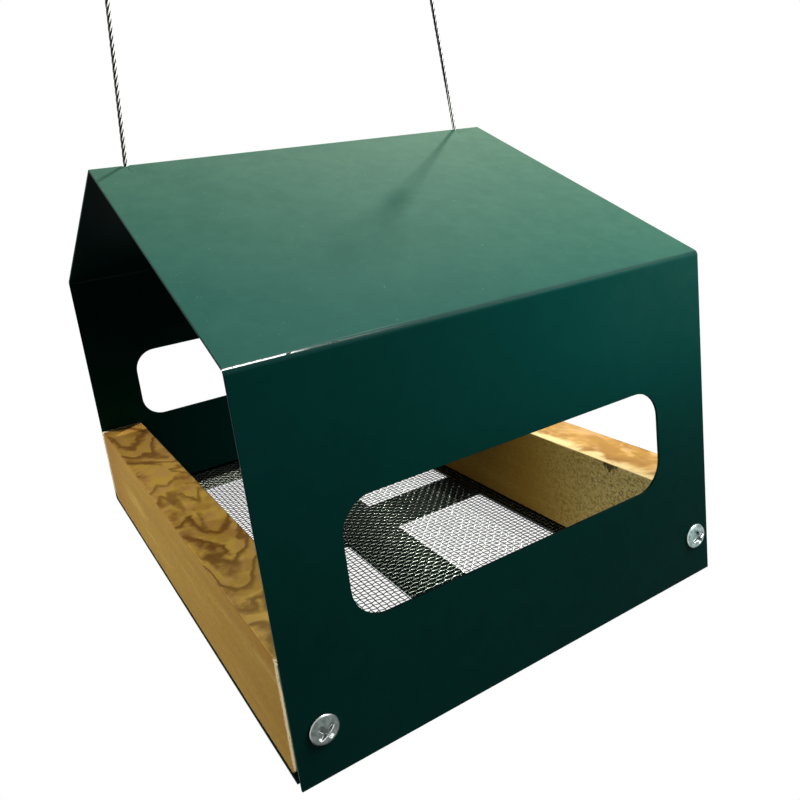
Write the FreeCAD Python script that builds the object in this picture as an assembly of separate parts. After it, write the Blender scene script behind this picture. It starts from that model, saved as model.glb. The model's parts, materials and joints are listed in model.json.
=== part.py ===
import FreeCAD, Part
import math
import os

# A hanging fly-through bird feeder: one folded sheet-metal shell that is roof, two windowed walls
# and slotted floor, woven wire mesh on that floor, a wooden rail across each open end, screws
# through the walls into the rails, and two steel cables from the ridge.
# Millimetres. X runs along the ridge, -Y is the front wall, +Z is up, and the origin is the centre
# of the floor's underside.

# Folded shell, over the outside of the sheet
SHELL_LENGTH = 165.0
EAVE_WIDTH = 224.2
BASE_WIDTH = 232.7
WALL_HEIGHT = 116.3
RIDGE_RISE = 48.9
SHEET = 0.9
BEND_RADIUS = 1.1
FLANGE_HEIGHT = 14.0
SEAM_GAP = 0.3

# Windows in the front and back walls
WINDOW_WIDTH = 119.0
WINDOW_HEIGHT = 35.0
WINDOW_SILL = 40.0
WINDOW_CORNER = 10.0

# Floor openings: two by two, with one strip width round and between them
STRIP = 24.6
OPENING_CORNER = 1.0

# Woven wire mesh, and the coarser net of the same weight that stands in for it
MESH_PITCH = 2.1
MESH_WIRE = 0.46
MESH_CRIMP = 1.05
MESH_MARGIN = 2.6
MESH_INSET = 2.0
NET_GAPS_X = 14
NET_GAPS_Y = 20

# Wooden rails
RAIL_THICKNESS = 19.5
RAIL_TOP = 38.5
RAIL_FIT = 0.2
RAIL_EASE = 4.5
RAIL_ROUND = 0.6

# Pan-head rail screws, with a cross recess
SCREW_HEIGHT = 15.4
SCREW_DIAMETER = 4.2
SCREW_LENGTH = 25.0
SCREW_POINT = 6.0
SCREW_TIP_DIAMETER = 0.6
SCREW_HOLE_CLEARANCE = 0.4
THREAD_FIT = 0.1
HEAD_DIAMETER = 8.9
HEAD_HEIGHT = 2.5
HEAD_RIM = 0.8
RECESS_SPAN = 5.2
RECESS_WIDTH = 1.25
RECESS_DEPTH = 1.7
RECESS_TURNS = {"front_left": 38.0, "front_right": 20.0, "back_left": 62.0, "back_right": 5.0}
# How far each screw was driven off its rail's middle, towards the open end
SCREW_SHIFTS = {"front_left": 0.9, "front_right": 2.7, "back_left": 0.4, "back_right": 1.2}

# Cables
CABLE_DIAMETER = 1.6
CABLE_SPACING = 140.0
CABLE_HOLE_CLEARANCE = 0.8
HOOK_X = -21.7
HOOK_RISE = 685.0
RUNNING_GAP = 0.3
STOP_DIAMETER = 4.2
STOP_LENGTH = 8.0
STOP_SEAT_GAP = 0.15
TAIL_PROUD = 1.0
CRIMP_FIT = 0.05
CRIMP_WALL = 0.7
CRIMP_START = 60.5
CRIMP_LENGTH = 10.0

# Each cable's route in its own plane: distance up its line from the ridge, and distance across
CABLE_ROUTE = [
    (0.0, 0.0),
    (54.0, 1.05),
    (76.0, 1.05),
    (83.85, 8.9),
    (94.85, 8.9),
    (100.0, 0.0),
    (94.85, -8.9),
    (83.85, -8.9),
    (76.0, -1.05),
    (58.5, -1.05),
]
ARC_SHARE = 0.45

# Worked-out sizes
LEAN = math.atan((BASE_WIDTH - EAVE_WIDTH) / 2 / WALL_HEIGHT)
SLOPE = math.atan(RIDGE_RISE / (EAVE_WIDTH / 2))
RIDGE_HEIGHT = WALL_HEIGHT + RIDGE_RISE
OUTSIDE_BEND = BEND_RADIUS + SHEET
FLOOR_HALF = BASE_WIDTH / 2 - SHEET / math.cos(LEAN)
MESH_THICKNESS = 2 * MESH_WIRE
MESH_HALF = FLOOR_HALF - BEND_RADIUS - MESH_MARGIN
RAIL_BOTTOM = SHEET + MESH_THICKNESS
RAIL_X = SHELL_LENGTH / 2 - RAIL_THICKNESS / 2
CABLE_RADIUS = CABLE_DIAMETER / 2
PIVOT_RISE = (CABLE_RADIUS + RUNNING_GAP) / math.cos(SLOPE)
PIVOT_HEIGHT = RIDGE_HEIGHT + PIVOT_RISE
LEG_OFFSET = CABLE_ROUTE[1][1]

V = FreeCAD.Vector
X_AXIS = V(1, 0, 0)
Y_AXIS = V(0, 1, 0)
Z_AXIS = V(0, 0, 1)
ENDS = {"left": -1, "right": 1}
WALLS = {"front": -1, "back": 1}


def line(start, end):
    return Part.LineSegment(start, end).toShape()


def arc(start, middle, end):
    return Part.Arc(start, middle, end).toShape()


def prism(points, direction):
    """A straight-sided solid on a closed outline."""
    return Part.Face(Part.makePolygon(points + points[:1])).extrude(direction)


def cylinder(radius, start, end):
    return Part.makeCylinder(radius, start.distanceToPoint(end), start, end - start)


def wall_y(height, inset):
    """Half width between the leaning walls at a height, a distance in from their outer faces."""
    return BASE_WIDTH / 2 - height * math.tan(LEAN) - inset / math.cos(LEAN)


def bent_strip(corners, length):
    """Sheet folded along the outer corners (y, z), clockwise, centred on X with the given length."""
    points = [V(-length / 2, y, z) for y, z in corners]
    runs = [(end - start).normalize() for start, end in zip(points, points[1:])]
    insides = [V(0, run.z, -run.y) for run in runs]
    outer = []
    inner = []
    outer_from = points[0]
    inner_from = points[0] + insides[0] * SHEET
    for index, corner in enumerate(points[1:-1]):
        half_turn = runs[index].getAngle(runs[index + 1]) / 2
        to_centre = (insides[index] + insides[index + 1]).normalize()
        centre = corner + to_centre * (OUTSIDE_BEND / math.cos(half_turn))
        reach = OUTSIDE_BEND * math.tan(half_turn)
        first = corner - runs[index] * reach
        last = corner + runs[index + 1] * reach
        inner_first = first + insides[index] * SHEET
        inner_last = last + insides[index + 1] * SHEET
        outer += [line(outer_from, first), arc(first, centre - to_centre * OUTSIDE_BEND, last)]
        inner += [line(inner_from, inner_first), arc(inner_first, centre - to_centre * BEND_RADIUS, inner_last)]
        outer_from = last
        inner_from = inner_last
    outer_end = points[-1]
    inner_end = points[-1] + insides[-1] * SHEET
    outer.append(line(outer_from, outer_end))
    inner.append(line(inner_from, inner_end))
    ends = [line(outer_end, inner_end), line(points[0] + insides[0] * SHEET, points[0])]
    wire = Part.Wire(Part.__sortEdges__(outer + inner + ends))
    return Part.Face(wire).extrude(X_AXIS * length)


def rounded_prism(origin, across, up, width, height, corner, depth):
    """A rounded rectangle on two directions from its low corner, extruded by a depth vector."""
    def at(a, b):
        return origin + across * a + up * b

    bulge = corner * (1 - math.sqrt(0.5))
    edges = [
        line(at(corner, 0), at(width - corner, 0)),
        arc(at(width - corner, 0), at(width - bulge, bulge), at(width, corner)),
        line(at(width, corner), at(width, height - corner)),
        arc(at(width, height - corner), at(width - bulge, height - bulge), at(width - corner, height)),
        line(at(width - corner, height), at(corner, height)),
        arc(at(corner, height), at(bulge, height - bulge), at(0, height - corner)),
        line(at(0, height - corner), at(0, corner)),
        arc(at(0, corner), at(bulge, bulge), at(corner, 0)),
    ]
    return Part.Face(Part.Wire(edges)).extrude(depth)


def screw_seat(wall, end):
    """Where a rail screw's head sits on the wall's outer face, and the way its head points."""
    side = WALLS[wall]
    along_ridge = ENDS[end] * (RAIL_X + SCREW_SHIFTS[wall + "_" + end])
    seat = V(along_ridge, side * wall_y(SCREW_HEIGHT, 0), SCREW_HEIGHT)
    return seat, V(0, side * math.cos(LEAN), math.sin(LEAN))


def screw_bore(wall, end, diameter):
    """A bore along a rail screw, from outside its head to past its point."""
    seat, outward = screw_seat(wall, end)
    return cylinder(diameter / 2, seat + outward * HEAD_HEIGHT, seat - outward * (SCREW_LENGTH + 1))


def windows():
    """One rounded bar through both walls, which cuts both windows alike."""
    low = V(-WINDOW_WIDTH / 2, -BASE_WIDTH, WINDOW_SILL)
    return rounded_prism(low, X_AXIS, Z_AXIS, WINDOW_WIDTH, WINDOW_HEIGHT, WINDOW_CORNER, Y_AXIS * 2 * BASE_WIDTH)


def floor_openings():
    """The two by two openings in the floor."""
    width = (SHELL_LENGTH - 3 * STRIP) / 2
    depth = FLOOR_HALF - 1.5 * STRIP
    cuts = []
    for low_x in (-STRIP / 2 - width, STRIP / 2):
        for low_y in (-STRIP / 2 - depth, STRIP / 2):
            low = V(low_x, low_y, -SHEET)
            cuts.append(rounded_prism(low, X_AXIS, Y_AXIS, width, depth, OPENING_CORNER, Z_AXIS * 3 * SHEET))
    return cuts


def flange_notches():
    """The closing flange stops short of the rails, so its bend is cut away at both ends."""
    top = FLANGE_HEIGHT + SHEET
    seam = SHEET + SEAM_GAP / 2
    bend_reach = OUTSIDE_BEND * math.tan(math.pi / 4 + LEAN / 2)
    notch = RAIL_THICKNESS + SEAM_GAP
    cuts = []
    for start in (-SHELL_LENGTH / 2, SHELL_LENGTH / 2 - notch):
        outline = [
            V(start, -wall_y(-SHEET, seam), -SHEET),
            V(start, -wall_y(top, seam), top),
            V(start, bend_reach - wall_y(top, SHEET + SEAM_GAP), top),
            V(start, bend_reach - wall_y(-SHEET, SHEET + SEAM_GAP), -SHEET),
        ]
        cuts.append(prism(outline, X_AXIS * notch))
    return cuts


def folded_shell():
    """Front wall, roof, back wall, floor and a closing flange behind the front wall, in one strip."""
    foot = SHEET * math.sin(LEAN)
    corners = [
        (-wall_y(foot, 0), foot),
        (-EAVE_WIDTH / 2, WALL_HEIGHT),
        (0, RIDGE_HEIGHT),
        (EAVE_WIDTH / 2, WALL_HEIGHT),
        (BASE_WIDTH / 2, 0),
        (-wall_y(0, SHEET + SEAM_GAP), 0),
        (-wall_y(FLANGE_HEIGHT, SHEET + SEAM_GAP), FLANGE_HEIGHT),
    ]
    cuts = [windows()] + floor_openings() + flange_notches()
    for side in ENDS.values():
        hole = V(side * CABLE_SPACING / 2, 0, RIDGE_HEIGHT)
        reach = Z_AXIS * CABLE_SPACING / 10
        cuts.append(cylinder((CABLE_DIAMETER + CABLE_HOLE_CLEARANCE) / 2, hole - reach, hole + reach))
    for wall in WALLS:
        for end in ENDS:
            seat, outward = screw_seat(wall, end)
            radius = (SCREW_DIAMETER + SCREW_HOLE_CLEARANCE) / 2
            cuts.append(cylinder(radius, seat + outward * SHEET, seat - outward * 2 * SHEET))
    return bent_strip(corners, SHELL_LENGTH).cut(cuts)


def floor_mesh():
    """A flat net on the floor: its bars share the woven wire's thickness and weight."""
    wire_share = MESH_CRIMP * math.pi * MESH_WIRE / (4 * MESH_PITCH)
    bar_share = 1 - math.sqrt(1 - wire_share)
    half_x = SHELL_LENGTH / 2 - MESH_INSET
    step_x = 2 * half_x / NET_GAPS_X
    step_y = 2 * MESH_HALF / NET_GAPS_Y

    def rectangle(low_x, low_y, width, depth):
        corners = [(0, 0), (width, 0), (width, depth), (0, depth), (0, 0)]
        return Part.makePolygon([V(low_x + x, low_y + y, SHEET) for x, y in corners])

    wires = [rectangle(-half_x, -MESH_HALF, 2 * half_x, 2 * MESH_HALF)]
    for column in range(NET_GAPS_X):
        for row in range(NET_GAPS_Y):
            low_x = -half_x + (column + bar_share / 2) * step_x
            low_y = -MESH_HALF + (row + bar_share / 2) * step_y
            wires.append(rectangle(low_x, low_y, step_x * (1 - bar_share), step_y * (1 - bar_share)))
    print("net gaps", len(wires) - 1, "bar widths", round(step_x * bar_share, 2), round(step_y * bar_share, 2))
    return Part.makeFace(wires, "Part::FaceMakerBullseye").extrude(Z_AXIS * MESH_THICKNESS)


def rail(end):
    """A wooden bar between the leaning walls, on the mesh, with eased lower ends."""
    start = ENDS[end] * RAIL_X - RAIL_THICKNESS / 2
    inset = SHEET + RAIL_FIT
    half = [
        (wall_y(RAIL_BOTTOM, inset) - RAIL_EASE, RAIL_BOTTOM),
        (wall_y(RAIL_BOTTOM + RAIL_EASE, inset), RAIL_BOTTOM + RAIL_EASE),
        (wall_y(RAIL_TOP, inset), RAIL_TOP),
    ]
    outline = [V(start, y, z) for y, z in half] + [V(start, -y, z) for y, z in reversed(half)]
    body = prism(outline, X_AXIS * RAIL_THICKNESS)
    long_edges = []
    for edge in body.Edges:
        ends_at = [vertex.Point for vertex in edge.Vertexes]
        if all(abs(point.z - RAIL_TOP) < 1e-6 for point in ends_at) and abs(ends_at[0].x - ends_at[1].x) < 1e-6:
            long_edges.append(edge)
    body = body.makeFillet(RAIL_ROUND, long_edges)
    for wall in WALLS:
        body = body.cut(screw_bore(wall, end, SCREW_DIAMETER + THREAD_FIT))
    return body


def rail_screw(wall, end):
    """Pan head with a domed top and a cross recess, on a plain shank with a conical point."""
    radius = HEAD_DIAMETER / 2
    dome = HEAD_HEIGHT - HEAD_RIM
    sphere = (radius ** 2 + dome ** 2) / (2 * dome)
    half_way = radius * 0.5
    dome_at = HEAD_HEIGHT - sphere + math.sqrt(sphere ** 2 - half_way ** 2)
    shank = SCREW_DIAMETER / 2
    tip = SCREW_TIP_DIAMETER / 2
    edges = [
        line(V(0, 0, HEAD_HEIGHT), V(0, 0, -SCREW_LENGTH)),
        line(V(0, 0, -SCREW_LENGTH), V(tip, 0, -SCREW_LENGTH)),
        line(V(tip, 0, -SCREW_LENGTH), V(shank, 0, SCREW_POINT - SCREW_LENGTH)),
        line(V(shank, 0, SCREW_POINT - SCREW_LENGTH), V(shank, 0, 0)),
        line(V(shank, 0, 0), V(radius, 0, 0)),
        line(V(radius, 0, 0), V(radius, 0, HEAD_RIM)),
        arc(V(radius, 0, HEAD_RIM), V(half_way, 0, dome_at), V(0, 0, HEAD_HEIGHT)),
    ]
    body = Part.Face(Part.Wire(edges)).revolve(V(0, 0, 0), Z_AXIS, 360)
    low = HEAD_HEIGHT - RECESS_DEPTH
    slots = []
    for span, width in ((RECESS_SPAN, RECESS_WIDTH), (RECESS_WIDTH, RECESS_SPAN)):
        slots.append(Part.makeBox(span, width, HEAD_HEIGHT, V(-span / 2, -width / 2, low)))
    body = body.cut(slots)
    seat, outward = screw_seat(wall, end)
    turn = FreeCAD.Rotation(Z_AXIS, outward) * FreeCAD.Rotation(Z_AXIS, RECESS_TURNS[wall + "_" + end])
    body.Placement = FreeCAD.Placement(seat, turn)
    return body


def cable_frame(end):
    """The point that a cable bends about above its hole, the way it runs, and the way across it."""
    pivot = V(ENDS[end] * CABLE_SPACING / 2, 0, PIVOT_HEIGHT)
    along = (V(HOOK_X, 0, RIDGE_HEIGHT + HOOK_RISE) - pivot).normalize()
    return pivot, along, V(along.z, 0, -along.x)


def cable(end):
    """The free stretch: a taut run up from the ridge, and an eye that turns back into the sleeve."""
    pivot, along, across = cable_frame(end)
    points = [pivot + along * up + across * out for up, out in CABLE_ROUTE]
    runs = [finish - start for start, finish in zip(points, points[1:])]
    edges = []
    radii = []
    start = points[0]
    for before, after, corner in zip(runs, runs[1:], points[1:-1]):
        half_turn = before.getAngle(after) / 2
        reach = ARC_SHARE * min(before.Length, after.Length)
        radius = reach / math.tan(half_turn)
        first = corner - before * (reach / before.Length)
        last = corner + after * (reach / after.Length)
        to_centre = (first + last - corner * 2).normalize()
        middle = corner + to_centre * (radius / math.cos(half_turn) - radius)
        edges += [line(start, first), arc(first, middle, last)]
        radii.append(radius)
        start = last
    edges.append(line(start, points[-1]))
    path = Part.Wire(edges)
    section = Part.Wire(Part.makeCircle(CABLE_RADIUS, pivot, along))
    tube = path.makePipeShell([section], True, False)
    expected = math.pi * CABLE_RADIUS ** 2 * path.Length
    print(end, "cable length", round(path.Length, 2), "volume over section by length", round(tube.Volume / expected, 4))
    print(end, "cable radii", [round(radius, 1) for radius in radii])
    dome = Part.makeSphere(CABLE_RADIUS, pivot, along * -1, 0, 90, 360)
    return tube.fuse(dome).removeSplitter()


def stop_span(end):
    """Where a cable's stop starts under the ridge and where it ends, as distances below the pivot."""
    pivot, along, across = cable_frame(end)
    rim_drop = STOP_DIAMETER / 2 * math.hypot(math.tan(SLOPE), along.x / along.z)
    below = PIVOT_RISE + SHEET / math.cos(SLOPE) + rim_drop + STOP_SEAT_GAP
    start = below / along.z
    return start, start + STOP_LENGTH


def cable_tail(end):
    """The end of the cable that goes through the ridge and its stop."""
    pivot, along, across = cable_frame(end)
    start, finish = stop_span(end)
    return cylinder(CABLE_RADIUS, pivot - along * (CABLE_RADIUS + RUNNING_GAP), pivot - along * (finish + TAIL_PROUD))


def cable_stop(end):
    """A sleeve crimped on the cable's end, under the ridge, which carries the shell."""
    pivot, along, across = cable_frame(end)
    start, finish = stop_span(end)
    sleeve = cylinder(STOP_DIAMETER / 2, pivot - along * start, pivot - along * finish)
    return sleeve.cut(cylinder(CABLE_RADIUS + CRIMP_FIT, pivot - along * (start - 1), pivot - along * (finish + 1)))


def crimp_sleeve(end):
    """An oval sleeve round both legs of the eye."""
    pivot, along, across = cable_frame(end)
    low = pivot + along * CRIMP_START
    bore = CABLE_RADIUS + CRIMP_FIT
    round_off = bore + CRIMP_WALL

    def at(out, depth):
        return low + across * out + Y_AXIS * depth

    edges = [
        line(at(-LEG_OFFSET, -round_off), at(LEG_OFFSET, -round_off)),
        arc(at(LEG_OFFSET, -round_off), at(LEG_OFFSET + round_off, 0), at(LEG_OFFSET, round_off)),
        line(at(LEG_OFFSET, round_off), at(-LEG_OFFSET, round_off)),
        arc(at(-LEG_OFFSET, round_off), at(-LEG_OFFSET - round_off, 0), at(-LEG_OFFSET, -round_off)),
    ]
    body = Part.Face(Part.Wire(edges)).extrude(along * CRIMP_LENGTH)
    for out in (-LEG_OFFSET, LEG_OFFSET):
        body = body.cut(cylinder(bore, at(out, 0) - along, at(out, 0) + along * (CRIMP_LENGTH + 1)))
    return body


def build():
    """Every node's name and solid."""
    nodes = {"folded_shell": folded_shell(), "floor_mesh": floor_mesh()}
    for end in ENDS:
        nodes["rail_" + end] = rail(end)
        nodes["cable_" + end] = cable(end)
        nodes["crimp_sleeve_" + end] = crimp_sleeve(end)
        nodes["cable_tail_" + end] = cable_tail(end)
        nodes["cable_stop_" + end] = cable_stop(end)
        for wall in WALLS:
            nodes["rail_screw_" + wall + "_" + end] = rail_screw(wall, end)
    return nodes


def write(nodes):
    """One file per node."""
    os.makedirs("parts", exist_ok=True)
    for name, shape in nodes.items():
        solids = shape.Solids
        print(name, "solids", len(solids), "valid", shape.isValid(), "volume", round(shape.Volume, 2))
        solid = solids[0] if len(solids) == 1 else shape
        solid.exportStep(os.path.join("parts", name + ".step"))


write(build())
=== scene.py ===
import json
import math

import bpy
import numpy as np
from mathutils.geometry import delaunay_2d_cdt
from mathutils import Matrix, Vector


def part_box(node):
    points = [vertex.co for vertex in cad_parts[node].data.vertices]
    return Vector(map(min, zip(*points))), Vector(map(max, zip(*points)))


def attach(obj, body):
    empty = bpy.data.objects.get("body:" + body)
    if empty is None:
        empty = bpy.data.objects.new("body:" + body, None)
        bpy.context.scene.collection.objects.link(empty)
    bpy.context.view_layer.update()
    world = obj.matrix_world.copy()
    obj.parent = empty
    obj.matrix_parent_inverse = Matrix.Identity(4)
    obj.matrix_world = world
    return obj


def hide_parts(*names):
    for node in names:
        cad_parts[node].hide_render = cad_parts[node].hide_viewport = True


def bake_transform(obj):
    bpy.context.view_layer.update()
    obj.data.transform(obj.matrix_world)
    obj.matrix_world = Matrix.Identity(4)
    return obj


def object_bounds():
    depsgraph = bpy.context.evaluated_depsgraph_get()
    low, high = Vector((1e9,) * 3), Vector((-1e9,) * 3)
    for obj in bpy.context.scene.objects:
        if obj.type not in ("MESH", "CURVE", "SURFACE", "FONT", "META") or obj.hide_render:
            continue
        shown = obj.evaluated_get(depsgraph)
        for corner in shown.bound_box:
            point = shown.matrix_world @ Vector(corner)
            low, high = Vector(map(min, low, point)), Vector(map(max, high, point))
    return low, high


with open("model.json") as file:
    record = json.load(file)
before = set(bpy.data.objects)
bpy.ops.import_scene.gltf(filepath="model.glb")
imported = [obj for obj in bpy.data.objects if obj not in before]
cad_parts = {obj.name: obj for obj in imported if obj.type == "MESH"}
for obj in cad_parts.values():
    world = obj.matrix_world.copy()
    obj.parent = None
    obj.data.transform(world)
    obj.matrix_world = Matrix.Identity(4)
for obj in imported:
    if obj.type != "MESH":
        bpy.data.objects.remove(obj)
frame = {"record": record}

CAD_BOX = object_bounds()
SHELL_LOW, SHELL_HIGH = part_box("folded_shell")
SLOT_COLOURS = {entry["slot"]: entry["base_color"] for entry in frame["record"]["materials"]}

bl_info = {
    "name": "Hanging bird feeder",
    "version": (1, 0, 0),
    "blender": (4, 5, 0),
    "location": "View3D > Sidebar > Feeder",
    "description": "Builds the visible pieces of a fly-through bird feeder that hangs on two cables",
    "category": "Object",
}

ENDS = {"left": -1, "right": 1}
WALLS = {"front": -1, "back": 1}
Y_AXIS = np.array([0.0, 1.0, 0.0])
BLACK = (0.0, 0.0, 0.0)
WHITE = (1.0, 1.0, 1.0)

# Straight runs and bends of the folded sheet, counted from the front wall's foot
WALL_RUNS = {"front": 0, "back": 3}
FLOOR_RUN = 4
FRONT_EAVE, RIDGE, BACK_EAVE = 0, 1, 2

# Columns of the folded line's points
FOLD_Y, FOLD_Z = 0, 1

# Each screw's recess turn in degrees, and its distance off the rail's middle towards the open end in metres
SCREW_PLACES = {
    "front_left": (38.0, 0.0009), "front_right": (20.0, 0.0027),
    "back_left": (62.0, 0.0004), "back_right": (5.0, 0.0012),
}

# How finely surfaces are divided: numbers of steps, rings and sides, and lengths in metres
BEND_STEPS = 10
HOLE_CORNER_STEPS = 9
SHEET_GRID = 0.0065
SHEET_NEAR = 0.0005
BESIDE_RIDGE_HOLE = np.array([0.0018, 0.003, 0.0045])
RIM_STEPS = 2
RAIL_CORNER_STEPS = 5
RAIL_STATIONS = 141
RAIL_AROUND = 0.0016
HEAD_SPAN_POINTS = (4, 4, 8, 5, 10)
SHANK_RINGS, SHANK_SIDES = 120, 24
SLEEVE_RINGS, SLEEVE_SIDES = 41, 40
SLEEVE_MOUTH_RINGS, SLEEVE_BORE_RINGS = 4, 6
FLOOR_SIDES = 64

# Edges that turn by more than this many degrees are the shell's rims
RIM_ANGLE = 50

# Ends of the rails: turns of the rings round the edge in degrees, and shares to which the last rings shrink
RAIL_END_TURNS = (30, 60, 90)
RAIL_END_SHARES = (0.85, 0.6, 0.3, 0.02)

# Waves that make wires wander and wood uneven: lengths in metres, seeds, and how drawn out they are
DRIFT_WAVES = (0.055, 0.085, 0.14)
WEFT_SEED, WARP_SEED = 11, 12
FIBRE_WAVES = (0.0009, 0.0013, 0.0021, 0.0034)
SWELL_WAVES = (0.024, 0.041, 0.07)
FIBRE_SEED, SWELL_SEED = 31, 41
FIBRE_STRETCH, SWELL_STRETCH = 18, 2

# Name of each lamp: its place in metres, power in watts, width in millimetres, tint and purpose
LAMPS = {
    "key": ((0.6, 0.5, 1.1), 17.5, 80.0, (1.0, 0.97, 0.91), "Small lamp behind the right end"),
    "glint": ((0.293, -0.11, 1.155), 4.0, 200.0, WHITE, "Lamp that shows in the eave's bend"),
    "side": ((-0.66, 0.7, 0.76), 9.3, 300.0, (1.0, 0.98, 0.94), "Soft lamp behind the left end"),
    "low": ((-0.6, 0.5, 0.32), 2.3, 300.0, (1.0, 0.98, 0.94), "Soft lamp beside the left end"),
    "front": ((0.16, -0.24, 0.3), 0.72, 240.0, (0.95, 1.0, 1.0), "Soft lamp above the right front corner"),
}
LAMP_PARTS = ("place", "power", "width", "tint")


# Sizes and colours that a user may change

def size(name, millimetres, description):
    return bpy.props.FloatProperty(
        name=name, description=description, default=millimetres / 1000, unit="LENGTH", precision=5
    )


def number(name, default, description):
    return bpy.props.FloatProperty(name=name, description=description, default=default)


def count(name, default, description):
    return bpy.props.IntProperty(name=name, description=description, default=default, min=1)


def place(name, metres, description):
    return bpy.props.FloatVectorProperty(
        name=name, description=description, default=metres, subtype="TRANSLATION", unit="LENGTH"
    )


def colour(name, default, description):
    return bpy.props.FloatVectorProperty(
        name=name, description=description, default=default, subtype="COLOR", min=0, max=1
    )


def lamp_settings():
    """The settings of every lamp, as a property group's entries."""
    entries = {}
    for name, (metres, watts, millimetres, tint, purpose) in LAMPS.items():
        title = name.capitalize()
        entries[name + "_place"] = place(title + " lamp", metres, purpose)
        entries[name + "_power"] = number(title + " power", watts, "Power of the lamp in watts")
        entries[name + "_width"] = size(title + " width", millimetres, "Width of the lamp")
        entries[name + "_tint"] = colour(title + " tint", tint, "Colour of the lamp's light")
    return entries


class ShellSizes(bpy.types.PropertyGroup):
    """The folded sheet, over its outside"""
    length: size("Length", 1000 * (SHELL_HIGH.x - SHELL_LOW.x), "Length along the ridge")
    eave_width: size("Eave width", 224.2, "Width over the two eaves")
    base_width: size("Base width", 232.7, "Width over the feet of the walls")
    wall_height: size("Wall height", 116.3, "Height of the eaves")
    ridge_rise: size("Ridge rise", 48.9, "Height of the ridge above the eaves")
    sheet: size("Sheet", 0.9, "Thickness of the sheet")
    bend_radius: size("Bend radius", 1.1, "Inside radius of each bend")
    flange_height: size("Flange height", 14.0, "Height of the closing flange behind the front wall")
    seam_gap: size("Seam gap", 0.3, "Room between the flange and the front wall")
    window_width: size("Window width", 119.0, "Width of the window in each wall")
    window_height: size("Window height", 35.0, "Height of the window in each wall")
    window_sill: size("Window sill", 40.0, "Height of the window's lower edge")
    window_corner: size("Window corner", 10.0, "Radius of the window's corners")
    strip: size("Floor strip", 24.6, "Width of the strips round and between the floor openings")
    opening_corner: size("Opening corner", 1.0, "Radius of the floor openings' corners")
    rim_round: size("Rim round", 0.2, "Rounding of the painted rims")


class MeshSizes(bpy.types.PropertyGroup):
    """The woven wire cloth on the floor"""
    pitch: size("Pitch", 2.1, "Distance between neighbouring wires")
    weave: size("Weave", 0.46, "Half the thickness of the cloth")
    wire: size("Wire", 0.4, "Thickness of the wire, which is drawn a little thinner than half the cloth")
    margin: size("Margin", 2.6, "Room between the cloth and the floor's bends")
    inset: size("Inset", 2.0, "Distance of the cloth from the shell's open ends")
    drift: size("Drift", 0.22, "How far the wires wander from straight lines")
    sides: count("Sides", 5, "Sides of each wire's section")
    # Painted shade: weft and warp are the same wire, and the warp's low shine paints it dark
    weft_shine: number("Weft shine", 1.0, "Brightness of the wires along the ridge")
    warp_shine: number("Warp shine", 0.06, "Brightness of the wires across the ridge")


class RailSizes(bpy.types.PropertyGroup):
    """The wooden bars across the open ends"""
    thickness: size("Thickness", 19.5, "Thickness of a rail")
    top: size("Top", 38.5, "Height of a rail's upper face")
    fit: size("Fit", 0.2, "Room between a rail's ends and the walls")
    ease: size("Ease", 4.5, "Size of the eased lower ends")
    edge_round: size("Edge round", 0.6, "Rounding of the long edges")
    end_round: size("End round", 0.35, "Rounding of the sawn ends")
    fur: size("Fur", 0.07, "Height of the sawn surface's fibres")


class ScrewSizes(bpy.types.PropertyGroup):
    """The pan-head screws through the walls"""
    height: size("Height", 15.4, "Height of the screws above the floor's underside")
    diameter: size("Diameter", 4.2, "Outer diameter of the thread")
    core: size("Core", 2.9, "Diameter of the shank in the thread")
    thread_pitch: size("Thread pitch", 1.6, "Distance between turns of the thread")
    length: size("Length", 25.0, "Length under the head")
    point: size("Point", 6.0, "Length of the conical point")
    hole_room: size("Hole room", 0.4, "How much wider the wall's hole is than the screw")
    head_diameter: size("Head diameter", 8.9, "Diameter of the head")
    head_height: size("Head height", 2.5, "Height of the head")
    head_rim: size("Head rim", 0.8, "Height of the head's upright rim")
    rim_round: size("Rim round", 0.35, "Rounding where the rim meets the dome")
    recess_span: size("Recess span", 5.2, "Length of the cross recess")
    recess_width: size("Recess width", 1.25, "Width of the cross recess")
    recess_depth: size("Recess depth", 1.7, "Depth of the cross recess")
    recess_taper: size("Recess taper", 0.22, "Run of the recess's sloping walls")


class CableSizes(bpy.types.PropertyGroup):
    """The hanging cables and what is crimped on them"""
    diameter: size("Diameter", 1.6, "Diameter over the strands")
    strands: count("Strands", 4, "Strands of the rope")
    lay: size("Lay", 10.0, "Length in which a strand goes once round")
    spacing: size("Spacing", 140.0, "Distance between the two cables at the ridge")
    hole_room: size("Hole room", 0.8, "How much wider the ridge hole is than the cable")
    running_gap: size("Running gap", 0.3, "Room between the bending cable and the ridge")
    hook_x: size("Hook place", -21.7, "Place along the ridge of the hook that both cables lean to")
    hook_rise: size("Hook rise", 685.0, "Height of that hook above the ridge")
    stop_diameter: size("Stop diameter", 4.2, "Diameter of the stop under the ridge")
    stop_length: size("Stop length", 8.0, "Length of the stop under the ridge")
    stop_gap: size("Stop gap", 0.15, "Room between the stop and the ridge")
    tail_proud: size("Tail proud", 1.0, "How far the cable's end stands out of its stop")
    crimp_fit: size("Crimp fit", 0.05, "Room between a cable and its sleeve")
    crimp_wall: size("Crimp wall", 0.7, "Wall of the eye's sleeve")
    crimp_start: size("Crimp start", 60.5, "Distance of the eye's sleeve above the ridge")
    crimp_length: size("Crimp length", 10.0, "Length of the eye's sleeve")
    crimp_dent: size("Crimp dent", 0.28, "Depth of the press marks")
    strand_sides: count("Strand sides", 12, "Sides of each strand's section")
    smoothness: count("Smoothness", 64, "Points that each span of a cable's line is divided into")


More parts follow.
